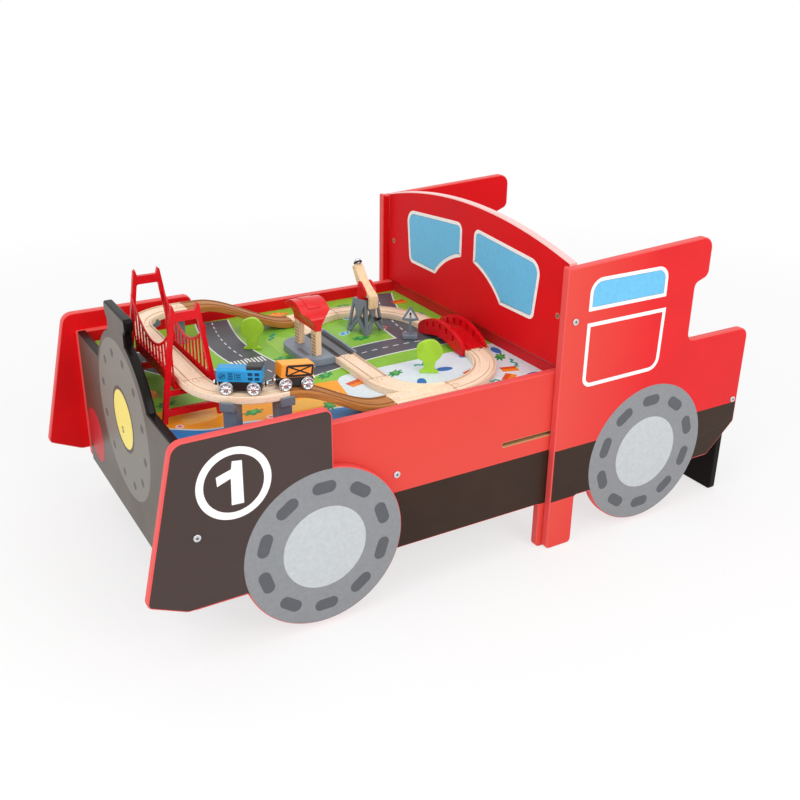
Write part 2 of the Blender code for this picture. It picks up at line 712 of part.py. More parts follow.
def build_cross_boards():
    """Boards across the table; the play board and the seat lie in grooves of the boards beside them."""
    board_bottom = PLAY_BOARD_TOP_Z - PLAY_BOARD_THICKNESS
    cross_board("nose_panel", nose_outline(), NOSE_X, BOX_HALF, BLACK_PAINT)
    beam = rectangle(-BOX_HALF, BEAM_BOTTOM_Z, BOX_HALF, board_bottom - GAP)
    cross_board("centre_beam", beam, BEAM_X - BOARD / 2, BOX_HALF, BARE_WOOD, ease=0.0)
    wall = rectangle(-BOX_HALF, REAR_WALL_BOTTOM_Z, BOX_HALF, SIDE_TOP_Z)
    cross_board("box_rear_wall", wall, REAR_WALL_X, BOX_HALF, RED_PAINT)
    cross_board("windshield_panel", windshield_outline(), WINDSHIELD_X, CAB_HALF, RED_PAINT)
    cross_board("rear_panel", rear_panel_outline(), REAR_PANEL_X, CAB_HALF, BLACK_PAINT)

    sheet_half = SIDE_INNER_Y + PLAY_BOARD_TONGUE - GAP
    sheet = rectangle(NOSE_REAR_X + GAP, -sheet_half, REAR_WALL_X - GAP, sheet_half)
    add("play_board", plate_mesh("sheet", sheet, board_bottom, PLAY_BOARD_TOP_Z, "XY"), PRINT_PAPER)
    seat_half = OUTER_INNER_Y + SEAT_TONGUE - GAP
    outline = rectangle(SEAT_FRONT_X, -seat_half, REAR_PANEL_X - GAP, seat_half)
    seat = plate_mesh("seat", outline, SEAT_TOP_Z - BOARD, SEAT_TOP_Z, "XY", ease=EDGE_EASE)
    for side in (-1, 1):
        low, high = side_range(side, OUTER_INNER_Y - GAP, OUTER_INNER_Y + BOARD)
        rebate = box_mesh("rebate", (SEAT_FRONT_X - GAP, low, SEAT_TOP_Z - SEAT_REBATE), (REAR_X, high, SEAT_TOP_Z + GAP))
        seat = combined(seat, rebate, "DIFFERENCE")
    add("seat_board", seat, RED_PAINT)


def build_connectors():
    """Each connector is a bolt screwed into its barrel nut, one at both ends of a cross board."""
    for name, (x, z, face, end) in BOLTS.items():
        low, high = nut_span(name, x - BOARD / 2)
        for side, label in ((-1, "near"), (1, "far")):
            seat = face + GAP
            crown = seat + BOLT_HEAD_HEIGHT
            profile = [(0, end - BOLT_REACH), (BOLT_RADIUS, end - BOLT_REACH), (BOLT_RADIUS, seat),
                       (BOLT_HEAD_RADIUS, seat), (BOLT_HEAD_RADIUS, seat + BOLT_HEAD_HEIGHT * 0.5),
                       (BOLT_HEAD_RADIUS * 0.6, crown), (0, crown)]
            turn = Matrix.Rotation(-side * PI / 2, 4, "X")
            bolt = moved(turned_mesh("bolt", profile, 8), Matrix.Translation((x, 0, z)) @ turn)
            nut = rod("nut", NUT_RADIUS, low, high, "X", (side * (end - NUT_INSET), z))
            piece = "connector_" + name.replace("_panel", "") + "_" + label
            add(piece, combined(bolt, nut, "UNION"), STEEL, smooth=True)


# Railway

def track_section(thickness=TRACK_THICKNESS):
    """Section of a wooden track: a slab with two grooves, its top at height 0."""
    half = TRACK_WIDTH / 2
    inner = GROOVE_OFFSET - GROOVE_WIDTH / 2
    outer = GROOVE_OFFSET + GROOVE_WIDTH / 2
    right = [(inner, 0), (inner, -GROOVE_DEPTH), (outer, -GROOVE_DEPTH), (outer, 0), (half, 0), (half, -thickness)]
    left = [(-u, v) for u, v in reversed(right)]
    return right + left


def straight_path(start, end, z):
    """Two stations of a straight, level run."""
    heading = math.atan2(end[1] - start[1], end[0] - start[0])
    return [(start[0], start[1], z, heading), (end[0], end[1], z, heading)]


def bend_path(cx, cy, radius, start, end, z, count=9):
    """Stations around a bend; the angles are of the spoke from its centre."""
    turn = PI / 2 if end > start else -PI / 2
    path = []
    for i in range(count + 1):
        angle = start + (end - start) * i / count
        path.append((cx + radius * math.cos(angle), cy + radius * math.sin(angle), z, angle + turn))
    return path


def ramp_height(x, start_x, end_x, levels):
    """Height of a ramp's top: level at first, an S curve down, then level on the ground."""
    first = start_x + levels[0]
    last = end_x - levels[1]
    t = min(1.0, max(0.0, (x - first) / (last - first)))
    return HIGH_TRACK_Z + (GROUND_TRACK_Z - HIGH_TRACK_Z) * t * t * (3 - 2 * t)


def ramp_path(start_x, end_x, start_y, end_y, levels, count=14):
    """Down from the high line to the ground, an S in height and in plan."""
    path = []
    low = start_x + GAP / 2
    high = end_x - GAP / 2
    for i in range(count + 1):
        t = i / count
        x = low + (high - low) * t
        slope = 6 * t * (1 - t) * (end_y - start_y) / (high - low)
        y = start_y + (end_y - start_y) * t * t * (3 - 2 * t)
        path.append((x, y, ramp_height(x, start_x, end_x, levels), math.atan(slope)))
    return path


def high_bend(side):
    """The bend between the bridge and a ramp on the high line, with a short straight tail."""
    centre_x, centre_y, radius = high_centre(side)
    start = PI + side * -math.asin(GAP / radius)
    path = bend_path(centre_x, centre_y, radius, start, PI - side * PI / 2, HIGH_TRACK_Z)
    end_x = NEAR_RAMP_START_X if side < 0 else FAR_RAMP_START_X
    return path + [(end_x - GAP / 2, centre_y + side * radius, HIGH_TRACK_Z, path[-1][3])]


def high_centre(side):
    """Centre and radius of the high bend on one side."""
    radius = NEAR_CURVE_RADIUS if side < 0 else FAR_CURVE_RADIUS
    return BRIDGE_X + radius, BRIDGE_TRACK_Y[0] if side < 0 else BRIDGE_TRACK_Y[1], radius


def turnout_mesh(name, start_x, line_y, side):
    """A straight with a branch that leaves it towards the table's middle."""
    end_x = LOOP_CENTRE_X - GAP / 2
    first_x = start_x + GAP / 2
    centre_y = line_y - side * LINK_RADIUS
    straight = straight_path((first_x, line_y), (end_x, line_y), GROUND_TRACK_Z)
    branch = bend_path(end_x, centre_y, LINK_RADIUS, side * PI / 2, PI if side > 0 else -PI, GROUND_TRACK_Z, 10)
    half = TRACK_WIDTH / 2
    slab = [(half, 0), (half, -TRACK_THICKNESS), (-half, -TRACK_THICKNESS), (-half, 0)]
    body = combined(swept_mesh(name, straight, slab), swept_mesh(name, branch, slab), "UNION")
    for path in (straight, branch):
        for offset in (-GROOVE_OFFSET, GROOVE_OFFSET):
            wall = GROOVE_WIDTH / 2
            groove = [(offset + wall, GAP), (offset + wall, -GROOVE_DEPTH), (offset - wall, -GROOVE_DEPTH),
                      (offset - wall, GAP)]
            body = combined(body, swept_mesh("groove", path, groove), "DIFFERENCE")
    return body


def build_tracks():
    """All wooden track pieces."""
    section = track_section()
    near_y, far_y = BRIDGE_TRACK_Y
    deck = straight_path((BRIDGE_X, near_y + GAP), (BRIDGE_X, far_y - GAP), HIGH_TRACK_Z)
    add("track_bridge", swept_mesh("deck", deck, section), LIGHT_BEECH)
    add("track_high_bend_near", swept_mesh("bend", high_bend(-1), section), LIGHT_BEECH)
    add("track_high_bend_far", swept_mesh("bend", high_bend(1), section), LIGHT_BEECH)
    near_ramp = ramp_path(NEAR_RAMP_START_X, NEAR_RAMP_END_X, NEAR_HIGH_Y, NEAR_LINE_Y, NEAR_RAMP_LEVELS)
    far_ramp = ramp_path(FAR_RAMP_START_X, FAR_RAMP_END_X, FAR_HIGH_Y, FAR_LINE_Y, FAR_RAMP_LEVELS)
    add("track_ramp_near", swept_mesh("ramp", near_ramp, section), DARK_BEECH)
    add("track_ramp_far", swept_mesh("ramp", far_ramp, section), DARK_BEECH)
    add("track_turnout_near", turnout_mesh("turnout", NEAR_RAMP_END_X, NEAR_LINE_Y, -1), LIGHT_BEECH)
    add("track_turnout_far", turnout_mesh("turnout", FAR_RAMP_END_X, FAR_LINE_Y, 1), LIGHT_BEECH)
    link_start = NEAR_LINE_Y + LINK_RADIUS
    link = straight_path((LINK_X, link_start + GAP), (LINK_X, STATION_Y[0] - GAP), GROUND_TRACK_Z)
    add("track_link", swept_mesh("link", link, section), LIGHT_BEECH)
    near_centre = NEAR_LINE_Y + LOOP_RADIUS
    far_centre = FAR_LINE_Y - LOOP_RADIUS
    outer = LOOP_RADIUS + TRACK_WIDTH / 2
    joint = math.asin((ARCHED_Y[0] - GAP - near_centre) / (outer - TRACK_WIDTH))
    near_bend = bend_path(LOOP_CENTRE_X, near_centre, LOOP_RADIUS, -PI / 2, joint, GROUND_TRACK_Z)
    far_bend = bend_path(LOOP_CENTRE_X, far_centre, LOOP_RADIUS, 0.0, PI / 2, GROUND_TRACK_Z)
    far_bend = [(LOOP_X, ARCHED_Y[1] + GAP, GROUND_TRACK_Z, PI / 2)] + far_bend
    add("track_loop_near", swept_mesh("bend", near_bend, section), LIGHT_BEECH)
    add("track_loop_far", swept_mesh("bend", far_bend, section), LIGHT_BEECH)



def build_arched_bridge():
    """Arched bridge: a grooved floor between two walls with slits."""
    low_y, high_y = ARCHED_Y
    count = 16

    def rise(t):
        """Rise of the floor at a share t of the bridge's length."""
        return ARCHED_FLOOR_RISE * math.sin(PI * t) ** 2

    def crest(t):
        """Height of a wall's top edge, steep at its ends and flat in the middle."""
        return ARCHED_WALL_END_Z + (ARCHED_WALL_CREST_Z - ARCHED_WALL_END_Z) * max(0.0, math.sin(PI * t)) ** 0.7

    shares = [i / count for i in range(count + 1)]
    path = [(LOOP_X, low_y + (high_y - low_y) * t, GROUND_TRACK_Z + rise(t), PI / 2) for t in shares]
    bridge = swept_mesh("floor", path, track_section(TRACK_THICKNESS - 2 * GAP))
    top = [(low_y + (high_y - low_y) * t, crest(t)) for t in shares]
    foot = [(low_y + (high_y - low_y) * t, TRACK_BASE_Z + rise(t)) for t in shares]
    slits = []
    for i in range(ARCHED_SLITS):
        t = (i + 1.5) / (ARCHED_SLITS + 2)
        y = low_y + (high_y - low_y) * t
        low = GROUND_TRACK_Z + rise(t) + 0.003
        high = crest(t) - 0.005
        slits.append([(y - 0.0035, low), (y + 0.0035, low), (y + 0.0035, high), (y - 0.0035, high)])
    inner = TRACK_WIDTH / 2 - ARCHED_WALL_LAP
    outer = TRACK_WIDTH / 2 + ARCHED_WALL_THICKNESS
    for side in (-1, 1):
        edges = sorted((LOOP_X + side * inner, LOOP_X + side * outer))
        wall = plate_mesh("wall", top + foot[::-1], edges[0], edges[1], "YZ", slits)
        bridge = combined(bridge, wall, "UNION")
    add("arched_bridge", bridge, RED_PLASTIC)


def build_suspension_bridge():
    """Two towers and the deck with its cable panels."""
    foot_z = TRACK_BASE_Z
    top_z = PLAY_BOARD_TOP_Z + TOWER_HEIGHT
    deck_top = HIGH_TRACK_Z - TRACK_THICKNESS - GAP
    deck_bottom = deck_top - DECK_THICKNESS

    def leg_half(z):
        """Half width over the legs at a height: they lean in evenly."""
        return TOWER_FOOT_HALF + (TOWER_TOP_HALF - TOWER_FOOT_HALF) * (z - foot_z) / (top_z - foot_z)

    def window(x, low, high):
        """Opening between the legs of the tower at x, from one height to another."""
        return rounded([(x - leg_half(low) + TOWER_LEG, low, 0.003), (x + leg_half(low) - TOWER_LEG, low, 0.003),
                        (x + leg_half(high) - TOWER_LEG, high, 0.003), (x - leg_half(high) + TOWER_LEG, high, 0.003)])

    spike = 0.011
    bar_top = top_z - spike
    foot = TOWER_FOOT_HALF
    head = TOWER_TOP_HALF
    brace_low = foot_z + 0.012
    brace_high = foot_z + 0.022
    half = [(foot - TOWER_LEG - 0.002, brace_low), (foot - TOWER_LEG, foot_z), (foot, foot_z), (head, top_z - 0.003),
            (head - 0.003, top_z), (head - 0.006, bar_top)]
    for label, x, y in zip(("near", "far"), TOWER_X, TOWER_Y):
        outline = [(x + u, v) for u, v in half] + [(x - u, v) for u, v in reversed(half)]
        holes = [window(x, brace_high, deck_bottom - GAP - 0.006), window(x, deck_bottom - GAP, bar_top - 0.014)]
        low = y - TOWER_THICKNESS / 2
        mesh = plate_mesh("tower", outline, low, low + TOWER_THICKNESS, "XZ", holes)
        add("bridge_tower_" + label, mesh, RED_PLASTIC)

    start = TOWER_Y[0] + TOWER_THICKNESS / 2 + GAP
    end = TOWER_Y[1] - TOWER_THICKNESS / 2 - GAP
    middle = (start + end) / 2
    reach = (end - start) / 2

    def cable(y):
        """Height of the cable over the deck's underside: a parabola between the towers."""
        return deck_bottom + CABLE_SAG_Z + (CABLE_END_Z - CABLE_SAG_Z) * ((y - middle) / reach) ** 2

    steps = 12
    ys = [start + (end - start) * i / steps for i in range(steps + 1)]
    panel = [(y, cable(y)) for y in ys] + [(end, deck_bottom), (start, deck_bottom)]
    gaps = []
    pitch = (end - start) / 13
    for i in range(13):
        low = start + pitch * (i + 0.28)
        high = start + pitch * (i + 0.72)
        sill = deck_top + 0.005
        head_low = cable(low) - 0.006
        head_high = cable(high) - 0.006
        if min(head_low, head_high) > sill + 0.006:
            gaps.append([(low, sill), (high, sill), (high, head_high), (low, head_low)])
    floor = box_mesh("floor", (BRIDGE_X - PANEL_HALF + PANEL_THICKNESS / 2, start, deck_bottom),
                     (BRIDGE_X + PANEL_HALF - PANEL_THICKNESS / 2, end, deck_top))
    for side in (-1, 1):
        edges = sorted((BRIDGE_X + side * PANEL_HALF, BRIDGE_X + side * (PANEL_HALF - PANEL_THICKNESS)))
        web = plate_mesh("web", panel, edges[0], edges[1], "YZ", gaps)
        floor = combined(floor, web, "UNION")
    add("bridge_deck", floor, RED_PLASTIC)


def build_piers():
    """Piers under the high bends, two a side."""
    top = HIGH_TRACK_Z - TRACK_THICKNESS - PIER_CLEARANCE
    for side, label in ((-1, "near"), (1, "far")):
        centre_x, centre_y, radius = high_centre(side)
        for number, (degrees, along, out) in enumerate(PIER_SPOTS, 1):
            spoke = math.radians(degrees)
            reach = radius + out
            x = centre_x + reach * math.cos(spoke) + along
            y = centre_y + side * reach * math.sin(spoke)
            turn = Matrix.Translation((x, y, 0)) @ Matrix.Rotation(side * (spoke - PI / 2), 4, "Z")
            foot_z = TRACK_BASE_Z
            half = [(PIER_FOOT_HALF, foot_z), (PIER_FOOT_HALF, foot_z + 0.004), (PIER_HALF, foot_z + 0.007),
                    (PIER_HALF, top - 0.012), (PIER_CAP_HALF, top - 0.008), (PIER_CAP_HALF, top)]
            profile = half + [(-u, v) for u, v in reversed(half)]
            pier = moved(plate_mesh("pier", profile, -PIER_THICKNESS / 2, PIER_THICKNESS / 2, "YZ"), turn)
            add(f"pier_{label}_{number}", pier, GREY_PLASTIC)


def station_roof_mesh(centre_x, centre_y):
    """Saddle roof: an arch seen from the side, cut to a section that is coved on both flanks."""
    rise = ROOF_CREST_Z - ROOF_EAVES_Z
    radius = (ROOF_HALF_LENGTH ** 2 + rise ** 2) / (2 * rise)
    sweep = math.asin(ROOF_HALF_LENGTH / radius)
    crown = arc(centre_y, ROOF_CREST_Z - radius, radius, PI / 2 - sweep, PI / 2 + sweep, math.radians(12))
    arch = crown + [(centre_y - ROOF_HALF_LENGTH, ROOF_LOW_Z), (centre_y + ROOF_HALF_LENGTH, ROOF_LOW_Z)]
    body = plate_mesh("arch", arch, centre_x - 2 * ROOF_HALF_WIDTH, centre_x + 2 * ROOF_HALF_WIDTH, "YZ")
    tip_z = ROOF_CREST_Z - ROOF_TIP
    steps = 7
    cove = []
    for i in range(steps + 1):
        t = i / steps
        cove.append((ROOF_WAIST_HALF + (ROOF_HALF_WIDTH - ROOF_WAIST_HALF) * t * t, ROOF_WAIST_Z + (tip_z - ROOF_WAIST_Z) * t))
    flank = [(ROOF_WAIST_HALF, ROOF_LOW_Z - ROOF_TIP)] + cove + [(ROOF_HALF_WIDTH, ROOF_CREST_Z + ROOF_TIP)]
    section = [(centre_x + u, v) for u, v in flank] + [(centre_x - u, v) for u, v in reversed(flank)]
    span = 2 * ROOF_HALF_LENGTH
    return combined(body, plate_mesh("cove", section, centre_y - span, centre_y + span, "XZ"), "INTERSECT")


def build_station():
    """Station: platform with a track bed, two wooden posts and a saddle roof."""
    low_y = STATION_Y[0] + GAP
    high_y = STATION_Y[1] - GAP
    bed_low = LINK_X - TRACK_WIDTH / 2
    platform_low = bed_low - PLATFORM_WIDTH
    platform_top = GROUND_TRACK_Z + PLATFORM_RISE
    bed = swept_mesh("bed", straight_path((LINK_X, low_y), (LINK_X, high_y), GROUND_TRACK_Z), track_section())
    lap = 0.002
    near_y, far_y = PLATFORM_Y
    outline = rounded([(platform_low, near_y, PLATFORM_CURVE), (bed_low - GAP, near_y, 0.001),
                       (bed_low - GAP, low_y + lap, 0), (bed_low + lap, low_y + lap, 0),
                       (bed_low + lap, far_y, 0), (platform_low, far_y, PLATFORM_CURVE)])
    platform = plate_mesh("platform", outline, TRACK_BASE_Z, platform_top, "XY")
    add("station_platform", combined(bed, platform, "UNION"), GREY_PLASTIC)

    reach = POST_THICKNESS / 2
    for number, y in enumerate(STATION_POST_Y, 1):
        post = box_mesh("post", (POST_X - reach, y - POST_WIDTH / 2, platform_top + GAP),
                        (POST_X + reach, y + POST_WIDTH / 2, ROOF_LOW_Z - GAP))
        add(f"station_post_{number}", post, LIGHT_BEECH)
    middle_y = (STATION_POST_Y[0] + STATION_POST_Y[1]) / 2
    add("station_roof", station_roof_mesh(POST_X, middle_y), RED_PLASTIC, smooth=True)


def crane_tower_mesh():
    """Hollow tapered tower; each wall has a foot window and one on either side of its crossing."""
    foot = CRANE_FOOT_HALF
    height = CRANE_TOWER_HEIGHT
    member = CRANE_MEMBER

    def half_at(z):
        """Half width of the tower at a height."""
        return foot + (CRANE_TOP_HALF - foot) * z / height

    def frustum(shrink, low, high):
        """Four-sided tapered block; each side lies inside the tower's side by shrink."""
        points = [(su * (half_at(z) - shrink), sv * (half_at(z) - shrink), z) for z in (low, high)
                  for su, sv in ((-1, -1), (1, -1), (1, 1), (-1, 1))]
        sides = [(i, (i + 1) % 4, 4 + (i + 1) % 4, 4 + i) for i in range(4)]
        return finish_mesh("frustum", points, [(0, 1, 2, 3), (4, 5, 6, 7)] + sides)

    tower = combined(frustum(0.0, 0.0, height), frustum(member, -member, height - member), "DIFFERENCE")
    waist = crane_waist()
    crossing = 0.003
    side_low = member * 2
    side_high = height * 0.86
    foot_window = [(-half_at(0) + member, -member), (half_at(0) - member, -member), (0.0, waist - member * 1.5)]
    side_window = [(half_at(side_low) - member * 1.1, side_low), (half_at(side_high) - member, side_high),
                   (crossing, waist)]
    windows = [foot_window, side_window, [(-u, v) for u, v in reversed(side_window)]]
    for plane in ("XZ", "YZ"):
        cutters = joined("windows", [plate_mesh("window", w, -2 * foot, 2 * foot, plane) for w in windows])
        tower = combined(tower, cutters, "DIFFERENCE")
    wall_y = -half_at(waist)
    knob_hole = rod("knob_hole", KNOB_STEM_RADIUS + GAP, wall_y - member, wall_y + 2 * member, "Y", (0, waist))
    return combined(tower, knob_hole, "DIFFERENCE"), wall_y


def crane_waist():
    """Height of the crossing in each wall of the crane's tower."""
    return CRANE_TOWER_HEIGHT * 0.45


def build_crane():
    """Crane: lattice tower, turntable with cheeks and pin, boom, magnet and winch knob."""
    base = frame_empty("crane", (CRANE_X, CRANE_Y, TRACK_BASE_Z), math.radians(CRANE_YAW))
    tower, wall_y = crane_tower_mesh()
    add("crane_tower", tower, GREY_PLASTIC, parent=base)

    top = frame_empty("crane_top", (CRANE_X, CRANE_Y, TRACK_BASE_Z + CRANE_TOWER_HEIGHT + GAP))
    table_top = TURNTABLE_THICKNESS
    turntable = turned_mesh("disc", [(0, 0), (TURNTABLE_RADIUS, 0), (TURNTABLE_RADIUS, table_top), (0, table_top)], 20)
    inner = BOOM_WIDTH / 2 + GAP
    reach = inner + CHEEK_THICKNESS
    half_chord = math.sqrt(TURNTABLE_RADIUS ** 2 - reach ** 2) - GAP
    cheek_top = table_top + CHEEK_HEIGHT
    cheek = [(-half_chord, table_top / 2), (half_chord, table_top / 2), (0.010, table_top + 0.012), (0.004, cheek_top),
             (-0.004, cheek_top), (-0.022, table_top + 0.014), (-0.022, table_top + 0.006)]
    for side in (-1, 1):
        edges = sorted((side * inner, side * reach))
        turntable = combined(turntable, plate_mesh("cheek", cheek, *edges, "YZ"), "UNION")
    pivot_z = table_top + BOOM_PIVOT_RISE
    pin = rod("pin", PIN_RADIUS, -reach - 0.001, reach + 0.001, "X", (0, pivot_z))
    add("crane_turntable", combined(turntable, pin, "UNION"), RED_PLASTIC, parent=top)

    boom_frame = frame_empty("crane_boom_frame", (0, 0, pivot_z), parent=top)
    weight_back = BOOM_WEIGHT_Y + BOOM_WEIGHT_THICKNESS
    clear = GAP - BOOM_PIVOT_RISE + 0.0025
    tip = (BOOM_REACH, BOOM_TIP_RISE)
    profile = rounded([(BOOM_WEIGHT_Y, -BOOM_WEIGHT_DROP, 0.002), (weight_back, -BOOM_WEIGHT_DROP, 0.001),
                       (weight_back, clear, 0.002), (-0.012, clear, 0.004), (0.016, 0.002, 0.008),
                       (tip[0], tip[1] - 0.006, 0.004), (tip[0] - 0.011, tip[1], 0.003),
                       (0.006, 0.015, 0.010), (-0.011, 0.004, 0.010), (BOOM_WEIGHT_Y, -0.008, 0.005)])
    hole = disc_outline(0, 0, PIN_RADIUS + GAP, 12)
    half = BOOM_WIDTH / 2
    add("crane_boom", plate_mesh("boom", profile, -half, half, "YZ", [hole], 0.0008), LIGHT_BEECH, parent=boom_frame)
    ball = MAGNET_BALL_RADIUS
    count = 6
    angles = [-PI / 2 + PI * i / count for i in range(count + 1)]
    sphere = [(0, -ball)] + [(ball * math.cos(a), ball * math.sin(a)) for a in angles[1:-1]] + [(0, ball)]
    place = Matrix.Translation((0, tip[0] - 0.0075, tip[1] + ball - 0.0008))
    magnet = moved(turned_mesh("magnet", sphere, 12), place)
    add("crane_magnet", magnet, STEEL, smooth=True, parent=boom_frame)

    knob_frame = frame_empty("crane_knob_frame", (0, wall_y, crane_waist()), parent=base)
    stem = rod("stem", KNOB_STEM_RADIUS, -0.010, CRANE_MEMBER, "Y", (0, 0))
    grip = box_mesh("grip", (-KNOB_SPAN / 2, -0.0125, -0.002), (KNOB_SPAN / 2, -0.0085, 0.002))
    add("crane_winch_knob", combined(stem, grip, "UNION"), BLACK_PLASTIC, parent=knob_frame)


def build_scenery():
    """Two flat trees and a road sign, each standing on its own foot."""
    for name, (x, y, crown_half) in TREES.items():
        stand = frame_empty(name + "_stand", (x, y, TRACK_BASE_Z), math.radians(TREE_TURN))
        crown = []
        for i in range(17):
            angle = -PI / 2 + 0.5 + (2 * PI - 1.0) * i / 16
            bump = 1.0 + 0.03 * math.cos(5 * angle)
            crown.append((crown_half * bump * math.cos(angle),
                          TREE_HEIGHT - CROWN_HALF_HEIGHT + CROWN_HALF_HEIGHT * bump * math.sin(angle)))
        half = [(0.016, 0.0), (0.016, 0.0035), (0.009, 0.007)]
        outline = half + crown + [(-u, v) for u, v in reversed(half)]
        tree = plate_mesh("tree", outline, -TREE_THICKNESS / 2, TREE_THICKNESS / 2, "XZ", ease=0.0008)
        add(name, tree, GREEN_PLASTIC, smooth=True, parent=stand)

    stand = frame_empty("road_sign_stand", (SIGN_X, SIGN_Y, TRACK_BASE_Z), math.radians(TREE_TURN))
    foot = rectangle(-0.0145, -0.010, 0.0145, 0.010, 0.002)
    sign = plate_mesh("foot", foot, 0.0, 0.009, "XY", ease=0.0015)
    post = [(-0.0025, 0.004), (0.0025, 0.004), (0.0025, 0.034), (0.0145, 0.036), (0.0155, 0.0385),
            (0.0015, SIGN_HEIGHT), (-0.0015, SIGN_HEIGHT), (-0.0155, 0.0385), (-0.0145, 0.036), (-0.0025, 0.034)]
    sign = combined(sign, plate_mesh("post", post, -0.002, 0.002, "XZ"), "UNION")
    add("road_sign", sign, GREY_PLASTIC, parent=stand)


def wheel_pair():
    """Two flanged wheels on an axle along Y, centred on the axle."""
    inner = WHEEL_Y - TOY_WHEEL_WIDTH / 2
    outer = WHEEL_Y + TOY_WHEEL_WIDTH / 2
    radius = TOY_WHEEL_RADIUS
    hub = radius * 0.35
    side = [(AXLE_RADIUS, inner), (radius, inner), (radius, inner + 0.001), (radius - 0.0007, outer),
            (hub, outer), (hub, outer + 0.001), (0, outer + 0.001)]
    profile = [(r, -y) for r, y in reversed(side)] + side
    return moved(turned_mesh("wheel_pair", profile, 16), Matrix.Rotation(-PI / 2, 4, "X"))


def chassis_mesh(length, wheelbase):
    """Underframe with a wider sole plate, two axle holes and a coupling magnet at each end."""
    half = CHASSIS_WIDTH / 2
    sole = WHEEL_Y - TOY_WHEEL_WIDTH / 2 - GAP
    reach = length / 2 - 0.001
    beam = box_mesh("beam", (-reach + 0.001, -half, CHASSIS_BOTTOM), (reach - 0.001, half, CHASSIS_TOP - SOLE_PLATE / 2))
    mesh = box_mesh("sole", (-reach, -sole, CHASSIS_TOP - SOLE_PLATE), (reach, sole, CHASSIS_TOP))
    mesh = combined(mesh, beam, "UNION")
    holes = [rod("axle_hole", AXLE_RADIUS + AXLE_CLEARANCE, -half - 0.001, half + 0.001, "Y", (x, AXLE_Z))
             for x in (-wheelbase / 2, wheelbase / 2)]
    mesh = combined(mesh, joined("holes", holes), "DIFFERENCE")
    half_span = reach + MAGNET_LENGTH
    for side in (-1, 1):
        ends = sorted((side * half_span, side * (reach - MAGNET_ROOT)))
        mesh = combined(mesh, rod("magnet", MAGNET_RADIUS, *ends, "X", (0, MAGNET_Z)), "UNION")
    return mesh


def build_vehicle(prefix, place, heading, length, wheelbase, finish, pitch=0.0, shoulder=0.001):
    """A vehicle: body, underframe, magnets and two wheel pairs on their axles."""
    frame = frame_empty(prefix + "_frame", place, heading, pitch=pitch)
    half = VEHICLE_WIDTH / 2
    add(prefix + "_chassis", chassis_mesh(length, wheelbase), BLACK_PLASTIC, parent=frame)
    reach = length / 2
    top = BODY_Z + BODY_HEIGHT
    section = rounded([(-half, BODY_Z, 0), (half, BODY_Z, 0), (half, top, shoulder), (-half, top, shoulder)])
    body = plate_mesh("body", section, -reach, reach, "YZ", ease=0.0008)
    add(prefix + "_body", body, finish, parent=frame)
    for label, x in (("front", -wheelbase / 2), ("rear", wheelbase / 2)):
        add(prefix + "_axle_" + label, wheel_pair(), STEEL, smooth=True, parent=frame, location=(x, 0, AXLE_Z))
    return frame


def build_train():
    """The engine on the near high bend, and the wagon behind it, half on the ramp."""
    start_x = WAGON_X + WAGON_WHEELBASE / 2
    drop = HIGH_TRACK_Z - ramp_height(start_x, NEAR_RAMP_START_X, NEAR_RAMP_END_X, NEAR_RAMP_LEVELS) - SLOPE_ALLOWANCE
    place = (WAGON_X, NEAR_HIGH_Y, HIGH_TRACK_Z - drop / 2)
    build_vehicle("wagon", place, 0.0, WAGON_LENGTH, WAGON_WHEELBASE, ORANGE_PAINT, math.asin(drop / WAGON_WHEELBASE))
    centre_x, centre_y, bend = high_centre(-1)
    angle = math.radians(ENGINE_ANGLE)
    radius = math.sqrt(bend ** 2 - (ENGINE_WHEELBASE / 2) ** 2)
    place = (centre_x - radius * math.sin(angle), centre_y - radius * math.cos(angle), HIGH_TRACK_Z)
    engine = build_vehicle("engine", place, -angle, ENGINE_LENGTH, ENGINE_WHEELBASE, BLUE_PLASTIC, 0.0, BODY_SHOULDER)
    half = VEHICLE_WIDTH / 2 - 0.0015
    low = BODY_Z + BODY_HEIGHT + GAP
    reach = ENGINE_LENGTH / 2
    outline = rounded([(-half, low, 0), (half, low, 0), (half, low + ENGINE_ROOF_HEIGHT, 0.002),
                       (-half, low + ENGINE_ROOF_HEIGHT, 0.002)])
    roof = plate_mesh("roof", outline, reach - ENGINE_ROOF_LENGTH, reach, "YZ", ease=0.0008)
    add("engine_roof", roof, BLACK_PLASTIC, parent=engine)


build_side_boards()
build_cross_boards()
build_connectors()
build_tracks()
build_arched_bridge()
build_suspension_bridge()
build_piers()
build_station()
build_crane()
build_scenery()
build_train()
bpy.context.view_layer.update()
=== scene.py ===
"""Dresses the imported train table: smooth painted boards with their prints, a printed play board, beech track with
its bridges, station, crane and scenery, a small train, and a plain pale studio around them.

Lengths are metres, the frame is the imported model's own: +X from the nose to the cab, -Y the near side, +Z up.
"""
from __future__ import annotations

import logging
import math
from collections.abc import Callable, Mapping, Sequence
from dataclasses import dataclass, field
from enum import Enum

import bmesh
import bpy
import numpy as np
from mathutils import Matrix, Vector, geometry

